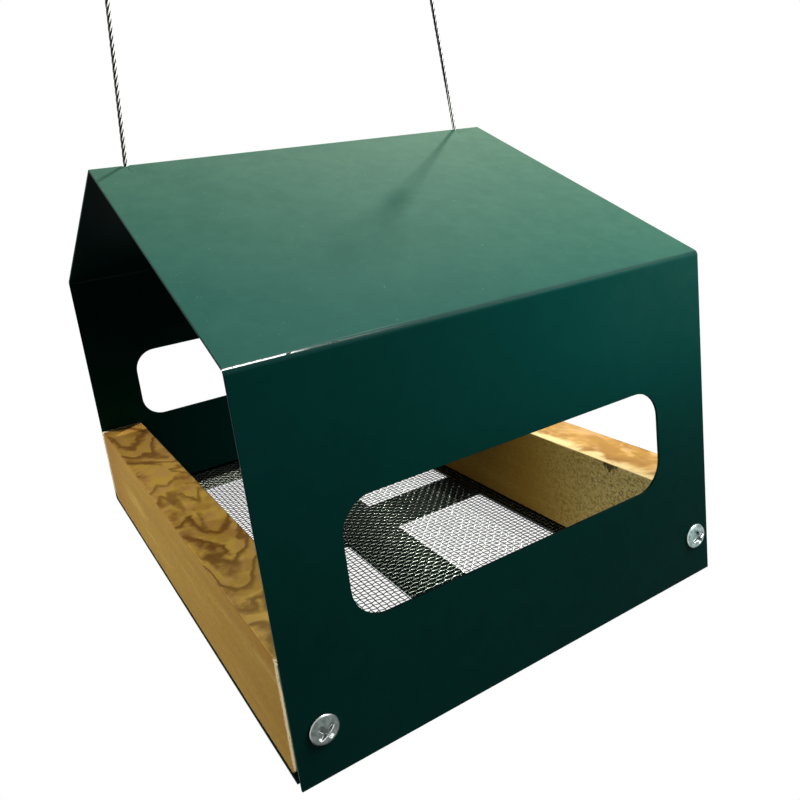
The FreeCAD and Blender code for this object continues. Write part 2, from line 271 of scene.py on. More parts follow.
class FinishColours(bpy.types.PropertyGroup):
    """Colours of the finishes"""
    paint: colour("Paint", (0.004, 0.075, 0.062), "Green paint of the shell")
    # Painted shade: a near-black green that the shell's inner faces and open rims take in place of their
    # shade
    inside: colour("Inside", (0.002, 0.028, 0.024), "Thin paint inside the shell")
    # Dust that settles on faces that look up, and painted sheen on the roof and on the walls' right ends
    dust_and_sheen: colour("Dust", (0.46, 0.6, 0.34), "Dust that settles on faces that look up")
    # Bare metal colour for the roof's pale specks, and for the painted highlight in the front eave's bend
    chip_and_glint: colour("Paint chip", (0.97, 0.98, 0.96), "Bare metal where the eave is worn")
    wood: colour("Wood", (0.62, 0.385, 0.06), "Early wood of the rails")
    wood_late: colour("Late wood", (0.245, 0.097, 0.01), "Late wood of the rails' rings")
    wood_red: colour("Red wood", (0.55, 0.3, 0.095), "Reddish early wood between the rings")
    wood_torn: colour("Torn wood", (1.0, 0.82, 0.52), "Fresh fibres along the sawn ends")
    # Pale sawn wood, also used as painted light on the rails' front parts
    sawdust: colour("Sawdust", (1.0, 0.8, 0.28), "Rough sawn faces inside")
    # Colour of the wire's painted highlight; its painted shade is a near-black share of it
    wire: colour("Wire", (0.84, 0.94, 0.78), "Galvanised wire, where it is clean")
    zinc: colour("Zinc", (0.17, 0.205, 0.19), "Weathered plating of the screws")
    # Painted reflection: lighter plating for the screws at the right end
    zinc_lit: colour("Clean zinc", (0.34, 0.47, 0.45), "Plating of the screws at the right end")
    # Painted highlight: colour of the screws' rims and of the recess walls that look up
    zinc_highlight: colour("Bright zinc", (0.92, 0.96, 0.94), "Plating in the recesses and at the rims")
    # Colour of the ropes' painted highlights; their painted shade is a dark share of it
    steel: colour("Steel", (0.98, 0.98, 0.94), "Steel strands")
    sleeve: colour("Sleeve", SLOT_COLOURS["sleeve_metal"], "Crimped sleeves")
    floor: colour("Floor", (0.3, 0.3, 0.3), "Studio floor")
    ambient: colour("Ambient", (1.0, 0.98, 0.95), "Light from all round")


class StageSettings(bpy.types.PropertyGroup):
    """Camera and floor"""
    camera_place: place("Camera place", (-0.130567, -0.273414, 0.160601), "Where the camera stands")
    camera_turn: bpy.props.FloatVectorProperty(
        name="Camera turn", description="Angles of the camera", subtype="EULER", unit="ROTATION",
        default=tuple(math.radians(a) for a in (74.5341, 6.5227, -30.8004)),
    )
    lens: number("Lens", 33.66, "Focal length of the camera in millimetres")
    sensor: number("Sensor", 36.0, "Width of the camera's sensor in millimetres")
    shift_x: number("Shift across", 0.0240, "Share of the frame that the view is shifted across")
    shift_y: number("Shift up", -0.0554, "Share of the frame that the view is shifted up")
    clip_start: size("Clip start", 10.0, "Distance from which the camera sees")
    floor_height: size("Floor height", -1100.0, "Height of the studio floor under the feeder")
    floor_radius: size("Floor radius", 4000.0, "Radius of the studio floor")
    ambient: number("Ambient", 0.03, "Strength of the light from all round")


class LampSettings(bpy.types.PropertyGroup):
    """Lamps of the stage"""
    __annotations__ = lamp_settings()


SETTINGS = {
    "shell": ShellSizes,
    "mesh": MeshSizes,
    "rail": RailSizes,
    "screw": ScrewSizes,
    "cable": CableSizes,
    "finish": FinishColours,
    "stage": StageSettings,
    "lamps": LampSettings,
}


class FeederSettings(bpy.types.PropertyGroup):
    """All sizes and colours of the feeder"""
    __annotations__ = {name: bpy.props.PointerProperty(type=group) for name, group in SETTINGS.items()}


# Node trees

class Field:
    """A node's output. Arithmetic with fields and numbers adds Math nodes."""

    def __init__(self, tree, socket):
        self.tree = tree
        self.socket = socket

    def maths(self, operation, first, second=0.0):
        return self.tree.node("ShaderNodeMath", {"operation": operation}, {0: first, 1: second})

    def __add__(self, other):
        return self.maths("ADD", self, other)

    def __radd__(self, other):
        return self.maths("ADD", other, self)

    def __sub__(self, other):
        return self.maths("SUBTRACT", self, other)

    def __rsub__(self, other):
        return self.maths("SUBTRACT", other, self)

    def __mul__(self, other):
        return self.maths("MULTIPLY", self, other)

    def __rmul__(self, other):
        return self.maths("MULTIPLY", other, self)

    def __truediv__(self, other):
        return self.maths("DIVIDE", self, other)

    def __rtruediv__(self, other):
        return self.maths("DIVIDE", other, self)

    def __neg__(self):
        return self.maths("MULTIPLY", self, -1.0)

    def __abs__(self):
        return self.maths("ABSOLUTE", self)

    def fraction(self):
        return self.maths("FRACT", self)

    def larger(self, other):
        return self.maths("MAXIMUM", self, other)


def opaque(shade):
    return shade if isinstance(shade, Field) else (*tuple(shade)[:3], 1.0)


def dimmed(shade, share):
    return tuple(share * value for value in shade)


def halfway(first, second):
    return tuple((a + b) / 2 for a, b in zip(first, second))


class Tree:
    """A node tree: one method adds any node, and the others are short names for common ones."""
    ending = "World Output"

    def __init__(self, tree):
        self.tree = tree

    def feed(self, socket, value):
        if isinstance(value, Field):
            self.tree.links.new(value.socket, socket)
        else:
            socket.default_value = value

    def node(self, kind, settings=None, sockets=None, output=0):
        """A node of a type, with its settings first and then the values or links of its sockets."""
        made = self.tree.nodes.new(kind)
        for name, value in (settings or {}).items():
            setattr(made, name, value)
        for key, value in (sockets or {}).items():
            self.feed(made.inputs[key], value)
        return Field(self, made.outputs[output])

    def coordinates(self, kind):
        return self.node("ShaderNodeTexCoord", output=kind)

    def axes(self, kind):
        """The three parts of a kind of coordinates."""
        split = self.node("ShaderNodeSeparateXYZ", None, {0: self.coordinates(kind)})
        return [Field(self, output) for output in split.socket.node.outputs]

    def noise(self, scale, detail, roughness, distortion=0.0, shift=(0.0, 0.0, 0.0)):
        """Noise in the piece's own space with one scale, or with three, along x, y and z."""
        vector = self.coordinates("Object")
        if isinstance(scale, tuple):
            sockets = {"Vector": vector, "Scale": scale, "Location": shift}
            vector = self.node("ShaderNodeMapping", None, sockets)
            scale = 1.0
        return self.node("ShaderNodeTexNoise", {"noise_dimensions": "3D"}, {
            "Vector": vector, "Scale": scale, "Detail": detail, "Roughness": roughness,
            "Distortion": distortion,
        })

    def step(self, field, low, high, start=0.0, end=1.0):
        """A smooth step from start to end as the field goes from low to high."""
        return self.node("ShaderNodeMapRange", {"interpolation_type": "SMOOTHSTEP", "clamp": True}, {
            "Value": field, "From Min": low, "From Max": high, "To Min": start, "To Max": end,
        })

    def fall(self, field, low, high):
        """A smooth step from 1 to 0 as the field goes from low to high."""
        return self.step(field, low, high, 1.0, 0.0)

    def blend(self, share, first, second):
        """A colour between two colours."""
        return self.node("ShaderNodeMix", {"data_type": "RGBA"}, {
            "Factor": share, 6: opaque(first), 7: opaque(second),
        }, output=2)

    def coats(self, shade, *laid):
        """A colour with others laid over it in order, each as (share, colour)."""
        for share, over in laid:
            shade = self.blend(share, shade, over)
        return shade

    def relief(self, height, strength, distance):
        sockets = {"Height": height, "Strength": strength, "Distance": distance}
        return self.node("ShaderNodeBump", None, sockets)

    def show(self, share, first, second):
        """The tree's surface is a shader with a share of a second one."""
        mixed = self.node("ShaderNodeMixShader", None, {0: share, 1: first, 2: second})
        self.feed(self.tree.nodes[self.ending].inputs["Surface"], mixed)


class Finish(Tree):
    """A material on one Principled shader: constants go on its own sockets, fields are linked to them."""
    ending = "Material Output"

    def __init__(self, name, constants):
        self.material = bpy.data.materials.new(name)
        self.material.use_nodes = True
        super().__init__(self.material.node_tree)
        self.shader = self.tree.nodes["Principled BSDF"]
        self.set(constants)

    def set(self, sockets):
        for key, value in sockets.items():
            self.feed(self.shader.inputs[key], value)

    def principled(self):
        return Field(self, self.shader.outputs[0])

    def done(self, shade, roughness, *relief):
        """The material with its colour, its roughness, and a relief's height, strength and distance."""
        self.set({"Base Color": shade, "Roughness": roughness, "Normal": self.relief(*relief)})
        return self.material


# Arrays and meshes

def unit(vectors):
    return vectors / np.linalg.norm(vectors, axis=-1, keepdims=True)


def circle(steps):
    """Angles evenly round a circle."""
    return np.arange(steps) * 2 * math.pi / steps


def distances(points):
    """Distance of each point from the first, along the line through them all."""
    return np.concatenate([[0], np.cumsum(np.linalg.norm(np.diff(points, axis=0), axis=1))])


def sines(first, second, waves, seed):
    """A gentle wander from -1 to 1: the mean of plane sine waves with seeded directions and phases."""
    draw = np.random.default_rng(seed)
    total = np.zeros(np.broadcast(first, second).shape)
    for length in waves:
        turn, phase = draw.uniform(0, 2 * math.pi, 2)
        across = first * math.cos(turn) + second * math.sin(turn)
        total = total + np.sin(across * 2 * math.pi / length + phase)
    return total / len(waves)


def grid_faces(rows, columns, wrap_rows=False, wrap_columns=False):
    """Four-sided faces of a grid of points, row by row, closed on itself where asked."""
    down = np.arange(rows if wrap_rows else rows - 1)[:, None]
    over = np.arange(columns if wrap_columns else columns - 1)[None, :]
    row, next_row = down * columns, (down + 1) % rows * columns
    after = (over + 1) % columns
    return np.stack([row + over, row + after, next_row + after, next_row + over], axis=-1).reshape(-1, 4)


def tube_faces(tubes, rings, sides):
    """Faces of like tubes, one after another, each a stack of rings with both ends capped."""
    one = rings * sides
    first = np.arange(tubes)[:, None, None] * one
    walls = grid_faces(rings, sides, wrap_columns=True)
    ring = np.arange(sides)
    caps = np.stack([ring[::-1], ring + one - sides])
    return [(walls + first).reshape(-1, 4), (caps + first).reshape(-1, sides)]


def make_piece(name, points, faces, material, uv=None):
    """A mesh object at the origin from a point array and arrays of faces."""
    mesh = bpy.data.meshes.new(name)
    corners = np.concatenate([group.ravel() for group in faces]).astype(np.int32)
    sides = np.concatenate([np.full(len(group), group.shape[1]) for group in faces])
    starts = np.concatenate([[0], np.cumsum(sides)[:-1]]).astype(np.int32)
    mesh.vertices.add(len(points))
    mesh.vertices.foreach_set("co", np.asarray(points, np.float32).ravel())
    mesh.loops.add(len(corners))
    mesh.loops.foreach_set("vertex_index", corners)
    mesh.polygons.add(len(starts))
    mesh.polygons.foreach_set("loop_start", starts)
    mesh.update(calc_edges=True)
    if mesh.validate():
        raise ValueError(name + " has faulty faces")
    mesh.shade_smooth()
    if uv is not None:
        layer = mesh.uv_layers.new(name="UVMap")
        layer.data.foreach_set("uv", np.asarray(uv, np.float32)[corners].ravel())
    mesh.materials.append(material)
    piece = bpy.data.objects.new(name, mesh)
    bpy.context.scene.collection.objects.link(piece)
    return piece


def seat_piece(piece, body, slot, *nodes):
    """The piece rides on a body and stands for CAD nodes, which are hidden; its slot is not used."""
    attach(piece, body)
    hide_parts(*nodes)


# Shell

class ShellForm:
    """Worked-out lines of the folded shell."""

    def __init__(self, sizes):
        self.sizes = sizes
        self.lean = math.atan((sizes.base_width - sizes.eave_width) / 2 / sizes.wall_height)
        self.slope = math.atan(sizes.ridge_rise / (sizes.eave_width / 2))
        self.ridge = sizes.wall_height + sizes.ridge_rise
        self.floor_half = sizes.base_width / 2 - sizes.sheet / math.cos(self.lean)

    def wall_y(self, height, inset):
        """Half width between the leaning walls at a height, a distance in from their outer faces."""
        return self.sizes.base_width / 2 - height * math.tan(self.lean) - inset / math.cos(self.lean)

    def corners(self):
        """Outer corners (y, z) from the front wall's foot, over the roof, to the closing flange."""
        s = self.sizes
        foot = s.sheet * math.sin(self.lean)
        behind = s.sheet + s.seam_gap
        return np.array([
            (-self.wall_y(foot, 0), foot),
            (-s.eave_width / 2, s.wall_height),
            (0, self.ridge),
            (s.eave_width / 2, s.wall_height),
            (s.base_width / 2, 0),
            (-self.wall_y(0, behind), 0),
            (-self.wall_y(s.flange_height, behind), s.flange_height),
        ])


class FoldLine:
    """The outer line of a folded sheet: straight runs joined by arcs, known at its breaks.

    Each bend turns from one run's heading to the next about a centre one radius inside both runs. A place
    on the flat sheet maps to the folded one by its distance along the line, and depth goes in at right
    angles to it."""

    def __init__(self, corners, radius, steps):
        runs = np.diff(corners, axis=0)
        headings = np.unwrap(np.arctan2(runs[:, 1], runs[:, 0]))
        ways = np.stack([np.cos(headings), np.sin(headings)], axis=1)
        turns = np.diff(headings)
        reach = radius * np.tan(np.abs(turns) / 2)
        starts = corners[1:-1] - ways[:-1] * reach[:, None]
        angles = headings[:-1, None] + turns[:, None] * np.linspace(0, 1, steps + 1)
        centres = starts + self.inward(headings[:-1]) * radius
        arcs = centres[:, None, :] - self.inward(angles) * radius
        self.points = np.concatenate([corners[:1], arcs.reshape(-1, 2), corners[-1:]])
        self.headings = np.concatenate([headings[:1], angles.ravel(), headings[-1:]])
        self.along = distances(self.points)
        edges = self.along[1:-1].reshape(-1, steps + 1)
        self.bend_starts = edges[:, 0]
        self.bend_ends = edges[:, -1]
        self.length = self.along[-1]

    @staticmethod
    def inward(angles):
        return np.stack([np.sin(angles), -np.cos(angles)], axis=-1)

    def bend_middle(self, bend):
        return float(self.bend_starts[bend] + self.bend_ends[bend]) / 2

    def fold(self, along, across, depth):
        """Points (x, y, z) of flat places (along, across), a depth under the outer face."""
        into = self.inward(np.interp(along, self.along, self.headings))
        y = np.interp(along, self.along, self.points[:, FOLD_Y]) + depth * into[:, 0]
        z = np.interp(along, self.along, self.points[:, FOLD_Z]) + depth * into[:, 1]
        return np.stack([across, y, z], axis=1)

    def on_run(self, run, column, value):
        """Distance along the line where a run's y or z, which the column says, has a value."""
        low = 0.0 if run == 0 else self.bend_ends[run - 1]
        high = self.length if run == len(self.bend_starts) else self.bend_starts[run]
        first, last = (np.interp(a, self.along, self.points[:, column]) for a in (low, high))
        return low + (high - low) * (value - first) / (last - first)


def rounded_loop(centre, half, corner, steps):
    """Points round a rectangle with rounded corners: four quarter circles, joined by straight lines."""
    turn = np.linspace(0, math.pi / 2, steps + 1)
    quarter = np.arange(4)[:, None] * math.pi / 2 + turn
    sign = np.array([(1, 1), (-1, 1), (-1, -1), (1, -1)])
    middle = np.asarray(centre) + sign * (np.asarray(half) - corner)
    arcs = middle[:, None, :] + corner * np.stack([np.cos(quarter), np.sin(quarter)], axis=-1)
    return arcs.reshape(-1, 2)


def outside_by(points, centre, half, corner):
    """Signed distance of points from that rectangle's edge, negative inside."""
    over = np.abs(points - np.asarray(centre)) - (np.asarray(half) - corner)
    return np.hypot(*np.maximum(over, 0).T) + np.minimum(over.max(axis=1), 0) - corner


def screw_along(wall, end, rail_span):
    """Place along the ridge of a screw, for the distance between the two rails' middles."""
    return ENDS[end] * (rail_span / 2 + SCREW_PLACES[wall + "_" + end][1])


def shell_holes(form, line, screw, cable, rail):
    """Every hole in the flat sheet as (centre, half sizes, corner radius)."""
    s = form.sizes
    holes = []

    def drill(along, across, diameter):
        holes.append(((along, across), (diameter / 2, diameter / 2), diameter / 2))

    window = (s.window_height / 2 / math.cos(form.lean), s.window_width / 2)
    for wall, run in WALL_RUNS.items():
        middle = line.on_run(run, FOLD_Z, s.window_sill + s.window_height / 2)
        holes.append(((middle, 0), window, s.window_corner))
        for end in ENDS:
            screw_x = screw_along(wall, end, s.length - rail.thickness)
            drill(line.on_run(run, FOLD_Z, screw.height), screw_x, screw.diameter + screw.hole_room)
    half_x = (s.length - 3 * s.strip) / 4
    half_y = (form.floor_half - 1.5 * s.strip) / 2
    for side in ENDS.values():
        for depth in WALLS.values():
            middle = line.on_run(FLOOR_RUN, FOLD_Y, depth * (s.strip / 2 + half_y))
            holes.append(((middle, side * (s.strip / 2 + half_x)), (half_y, half_x), s.opening_corner))
        drill(line.bend_middle(RIDGE), side * cable.spacing / 2, cable.diameter + cable.hole_room)
    return holes


class FlatSheet:
    """The shell's flat sheet: a grid, its edge with a notch beside each end of the flange, and its holes.

    Rows lie at every break of the bends, a little beyond each bend, and evenly on the runs. Columns lie
    evenly, beside the ridge holes and at the notches. Places are rounded to so many decimals, and are the
    same or merged within these distances in metres."""
    decimals = 7
    same = 1e-9
    merged = 1e-8

    def __init__(self, line, holes, length, notch, ridge_hole):
        self.line = line
        self.holes = holes
        self.half = length / 2
        self.waist = length / 2 - notch
        self.notch_start = line.bend_starts[-1]
        rows = [line.along]
        lows = np.concatenate([[0], line.bend_ends])
        highs = np.concatenate([line.bend_starts, [line.length]])
        for low, high in zip(lows, highs):
            rows.append(np.linspace(low, high, max(2, int((high - low) / SHEET_GRID) + 1)))
            rows.append([low + SHEET_NEAR, high - SHEET_NEAR])
        columns = [np.linspace(-self.half, self.half, int(length / SHEET_GRID) + 1)]
        for side in ENDS.values():
            columns += [side * ridge_hole - BESIDE_RIDGE_HOLE, side * ridge_hole + BESIDE_RIDGE_HOLE]
        columns.append([-self.waist, self.waist])
        self.rows = np.unique(np.round(np.concatenate(rows), self.decimals))
        self.columns = np.unique(np.round(np.concatenate(columns), self.decimals))

    def outline(self):
        """The sheet's edge as a loop of the grid's points."""
        start, waist = self.notch_start, self.waist
        sides = self.rows[self.rows <= start + self.same]
        ends = self.rows[self.rows >= start - self.same]
        inner = self.columns[np.abs(self.columns) <= waist + self.same][::-1]
        steps = self.columns[np.abs(self.columns) >= waist - self.same][::-1]
        edges = [
            (0.0, self.columns), (sides, self.half), (start, steps[steps > 0]), (ends, waist),
            (self.line.length, inner), (ends[::-1], -waist), (start, steps[steps < 0]),
            (sides[::-1], -self.half),
        ]
        return np.concatenate([np.stack(np.broadcast_arrays(*edge), axis=1)[:-1] for edge in edges])

    def clear_of_holes(self, points):
        return np.min([outside_by(points, *hole) for hole in self.holes], axis=0)

    def cut(self):
        """Flat points (along, across) and triangles, none of them inside a hole or a notch."""
        grid = np.stack(np.meshgrid(self.rows, self.columns, indexing="ij"), axis=-1).reshape(-1, 2)
        along, across = grid.T
        limit = np.where(along < self.notch_start - SHEET_NEAR / 4, self.half, self.waist)
        clear = (self.clear_of_holes(grid) > SHEET_NEAR) & (np.abs(across) < limit - SHEET_NEAR)
        clear &= (along > SHEET_NEAR / 2) & (along < self.line.length - SHEET_NEAR / 2)
        loops = [self.outline()] + [rounded_loop(*hole, HOLE_CORNER_STEPS) for hole in self.holes]
        links = []
        first = 0
        for loop in loops:
            turn = np.arange(len(loop))
            links.append(np.stack([turn, np.roll(turn, -1)], axis=1) + first)
            first += len(loop)
        points = np.concatenate(loops + [grid[clear]]).tolist()
        flat, _, triangles, *_ = delaunay_2d_cdt(points, np.concatenate(links).tolist(), [], 0, self.merged)
        flat = np.array(flat)
        triangles = np.array(triangles)
        middles = flat[triangles].mean(axis=1)
        kept = self.clear_of_holes(middles) > 0
        kept &= (middles[:, 0] < self.notch_start) | (np.abs(middles[:, 1]) < self.waist)
        return flat, triangles[kept]


def shell_arrays(line, flat, triangles, thickness):
    """The flat sheet folded twice, as outer and inner face, with a rim between them at every edge."""
    total = len(flat)
    layers = [line.fold(flat[:, 0], flat[:, 1], depth) for depth in (0.0, thickness)]
    edges = np.concatenate([triangles[:, [0, 1]], triangles[:, [1, 2]], triangles[:, [2, 0]]])
    _, index, uses = np.unique(np.sort(edges, axis=1), axis=0, return_index=True, return_counts=True)
    start, end = edges[index[uses == 1]].T
    rims = np.stack([end, start, start + total, end + total], axis=1)
    used = np.unique(triangles)
    kept = np.concatenate([used, used + total])
    renumber = np.zeros(2 * total, int)
    renumber[kept] = np.arange(len(kept))
    faces = [renumber[group] for group in (triangles, triangles[:, ::-1] + total, rims)]
    return np.concatenate(layers)[kept], faces, np.concatenate([flat, flat])[kept]


class ShellPaint(Finish):
    """Green paint, with the coordinates, noises and kinds of face that its coats share."""

    def __init__(self, colours, line):
        super().__init__("shell_paint", {"Specular IOR Level": 0.012})
        self.colours = colours
        self.line = line
        self.x, self.y, self.z = self.axes("Object")
        self.along, _, _ = self.axes("UV")
        self.endward, self.outward, self.up = self.axes("Normal")
        self.mottle = self.noise(170.0, 4.0, 0.65)
        self.thin = self.step(self.noise(40.0, 3.0, 0.6) * 0.4 + self.mottle * 0.6, 0.34, 0.66)
        self.above_eaves = self.step(self.z, 0.1, 0.11)
        self.raised = self.step(self.z, 0.035, 0.1)
        self.roof = self.step(self.up, 0.3, 0.9) * self.above_eaves
        self.under = self.step(-self.up, 0.3, 0.7)

    def green(self):
        """The green alone, with painted light: on the walls it lightens with height, more to the right."""
        paint = self.colours.paint
        darkest, lightest = 0.55, 1.35
        rightward = self.step(self.x, -0.06, 0.055)
        # Painted light: the walls' green is darker at the foot and lighter high up, most to the right
        foot = 0.74 - 0.15 * rightward
        head = 0.92 + 0.38 * rightward
        painted_light_tone = foot + (head - foot) * self.raised
        painted_light_tone = painted_light_tone + (1 - painted_light_tone) * self.roof
        painted_light_tone = (painted_light_tone - darkest) / (lightest - darkest) + (self.thin - 0.5) * 0.12
        return self.blend(painted_light_tone, dimmed(paint, darkest), dimmed(paint, lightest))

    def inner(self):
        """1 on faces that look inwards or down and on the open ends' rims, where painted shade goes, and 0
        elsewhere.
        """
        inwards = self.step(-(self.y * self.outward), 0.02, 0.06)
        return inwards.larger(self.under).larger(self.step(abs(self.endward), 0.5, 0.8))

    def painted_glint(self):
        """1 along a nicked line in the front eave's bend, most of it at the left end, and 0 elsewhere: a
        painted highlight of bare metal where the eave's glint falls, fading to the right like the glint.
        """
        offset, ragged = 0.0003, 0.0003
        nicks = self.noise((420.0, 900.0, 900.0), 2.0, 0.6)
        apart = abs(self.along - (self.line.bend_middle(FRONT_EAVE) + offset)) + (nicks - 0.5) * ragged
        leftward = self.step(-self.x, 0.02, 0.055) * 0.12 + self.step(-self.x, 0.058, 0.07) * 0.88
        return self.fall(apart, 0.00006, 0.00028) * leftward * self.step(nicks, 0.32, 0.4)

    def eaves(self):
        """1 on both eaves' bends, and 0 elsewhere."""
        front, back = (
            self.fall(abs(self.along - self.line.bend_middle(eave)), 0.0009, 0.0013)
            for eave in (FRONT_EAVE, BACK_EAVE)
        )
        return front.larger(back)

    def shade(self, painted_glint):
        """The green under its other coats.

        Dust and painted sheen lie on the roof, most at the ridge and to the right, and a trace of painted
        sheen shows high on the walls' right ends. Inside, painted shade darkens the green with height,
        darkest under the roof and on the floor. The roof has a few pale specks, and the painted highlight in
        the front eave's bend is bare metal."""
        colours, thin, roof = self.colours, self.thin, self.roof
        # Dust and painted sheen on the roof, growing towards the ridge and the right, where the sheen shows
        dust_and_sheen_share = (0.118 - abs(self.y) * 0.7 + self.x * 0.3).larger(0.035)
        # Painted sheen: a trace of the dust colour high on the walls' right ends
        bloom = (1 - roof) * self.step(self.x, 0.02, 0.075) * self.step(self.z, 0.075, 0.11)
        speck = self.step(self.noise(780.0, 1.0, 0.4), 0.77, 0.79)
        return self.coats(
            self.green(),
            (roof * dust_and_sheen_share * (0.87 + 0.26 * thin), colours.dust_and_sheen),
            (bloom * (0.4 + thin * 0.6) * 0.025, colours.dust_and_sheen),
            # Painted shade: inner faces and rims darken with height
            (self.inner(), self.blend(self.raised, dimmed(colours.paint, 0.9), colours.inside)),
            # Painted shade: black under the roof
            (self.under * self.above_eaves * 0.6, BLACK),
            # Painted shade on faces below the roof that look up, the floor's top among them
            (self.step(self.up, 0.3, 0.7) - roof, dimmed(colours.inside, 0.25)),
            (speck * roof * 0.05, colours.chip_and_glint),
            # Painted highlight: the bare metal line in the front eave's bend
            (painted_glint, colours.chip_and_glint),
        )

    def paint(self):
        """Matt walls, a satin sheen on the roof by a mix of two shaders, and glossy bends at the eaves."""
        # The painted highlight in the front eave's bend, bare metal that reflects the white surroundings
        painted_glint = self.painted_glint()
        peel = self.noise(1150.0, 2.0, 0.5)
        both = {
            "Base Color": self.shade(painted_glint), "Metallic": painted_glint,
            "Coat Weight": self.eaves() * 0.12, "Coat Roughness": 0.2,
            "Normal": self.relief(peel * 0.6 + self.mottle * 0.4, 0.15, 0.0001),
        }
        self.set({**both, "Roughness": 0.4})
        satin = self.node("ShaderNodeBsdfPrincipled", None, {
            **both, "Roughness": 0.65 + (self.mottle - 0.5) * 0.06, "Specular IOR Level": 0.02,
        })
        self.show(self.roof, self.principled(), satin)
        return self.material


class FEEDER_OT_shell(bpy.types.Operator):
    """Fold the shell: front wall, roof, back wall, floor and closing flange from one flat sheet"""
    bl_idname = "feeder.shell"
    bl_label = "Fold shell"

    def execute(self, context):
        settings = context.scene.feeder
        sizes = settings.shell
        form = ShellForm(sizes)
        line = FoldLine(form.corners(), sizes.bend_radius + sizes.sheet, BEND_STEPS)
        holes = shell_holes(form, line, settings.screw, settings.cable, settings.rail)
        notch = settings.rail.thickness + sizes.seam_gap
        flat, triangles = FlatSheet(line, holes, sizes.length, notch, settings.cable.spacing / 2).cut()
        points, faces, uv = shell_arrays(line, flat, triangles, sizes.sheet)
        shell = make_piece("shell", points, faces, ShellPaint(settings.finish, line).paint(), uv)
        rims = shell.modifiers.new("rims", "BEVEL")
        rims.limit_method = "ANGLE"
        rims.angle_limit = math.radians(RIM_ANGLE)
        rims.width = sizes.rim_round
        rims.segments = RIM_STEPS
        rims.harden_normals = True
        seat_piece(shell, "feeder", "shell_paint", "folded_shell")
        return {"FINISHED"}


# Floor mesh

def woven_wires(mesh, half_long, half_across, middle, lift, seed):
    """Wires side by side, each a small polygon carried along a wave.

    A wire runs along the first axis. At its crossing with the n-th cross wire it is raised or lowered by
    half the weave, as a cosine of half a turn per pitch, and neighbours are half a wave apart. Both ends
    are capped."""
    wires = int(2 * half_across / mesh.pitch)
    crossings = int(2 * half_long / mesh.pitch)
    offsets = (np.arange(wires) - (wires - 1) / 2) * mesh.pitch
    stations = (np.arange(2 * crossings + 1) / 2 - crossings / 2) * mesh.pitch
    stations[[0, -1]] = (-half_long, half_long)
    first_crossing = -(crossings - 1) / 2 * mesh.pitch
    along, across = np.meshgrid(stations, offsets)
    turns = (along - first_crossing) / mesh.pitch + np.arange(wires)[:, None]
    drift = mesh.drift * sines(along, across, DRIFT_WAVES, seed)
    rise = middle + lift * mesh.weave / 2 * np.cos(math.pi * turns)
    centre = np.stack([along, across + drift, rise], axis=-1)
    steep = np.gradient(rise, axis=1) / np.gradient(along, axis=1)
    up = unit(np.stack([-steep, np.zeros_like(steep), np.ones_like(steep)], axis=-1))
    turn = circle(mesh.sides)
    ring = np.cos(turn)[:, None] * up[:, :, None, :] + np.sin(turn)[:, None] * Y_AXIS
    points = centre[:, :, None, :] + ring * mesh.wire / 2
    return points.reshape(-1, 3), tube_faces(*points.shape[:3])


def galvanised_wire(name, colours, middle, wire, strip, shine):
    """Galvanised wire with cloudy bloom: a painted highlight on the tops of the weave's crests, and painted
    shade where it dips.

    Over the floor's cross of strips the wires are painted bright all round, less so towards the right and the
    back.
    In the far left corner they are rough and pale, and painted bright on top at any height. The crests'
    highlight is weaker to the right and the front."""
    finish = Finish(name, {})
    x, y, height = finish.axes("Object")
    _, _, up = finish.axes("Normal")
    bloom = finish.step(finish.noise(90.0, 3.0, 0.6), 0.35, 0.7)
    grain = finish.noise(1500.0, 2.0, 0.5)
    # Painted highlight on the crests' tops, with painted shade lower down, weaker to the right and the front
    crest = finish.step(height, middle - wire * 0.3, middle + wire * 0.85, 0.3, 1.0)
    crest = crest * crest * finish.step(x - y * 0.6, -0.04, 0.02, 1.0, 0.65)
    corner = finish.step(-x, 0.0, 0.04) * finish.step(y, 0.03, 0.08)
    crest = crest.larger(corner) * finish.step(up, 0.55, 0.97)
    soft = 0.0005
    edge = (strip / 2 - soft, strip / 2 + soft)
    on_strip = finish.fall(abs(x), *edge).larger(finish.fall(abs(y), *edge))
    # Painted light over the strips, weaker towards the right and the back
    whole = finish.step(-y, 0.0, 0.05, 0.5, 1.0) * finish.step(x, 0.004, 0.026, 1.0, 0.28)
    lit_share = crest + on_strip * (whole * finish.step(up, -0.3, 0.3) - crest)
    bright = dimmed(colours.wire, shine)
    metal = finish.blend(bloom * 0.6 + grain * 0.4, dimmed(bright, 0.8), bright)
    finish.set({"Metallic": 0.9 - 0.5 * corner})
    # Painted shade: a near-black share of the wire's colour wherever the painted light is missing
    shade = finish.blend(lit_share, dimmed(colours.wire, 0.015), metal)
    return finish.done(shade, 0.12 + 0.14 * grain + 0.35 * corner, grain, 0.1, 0.00002)


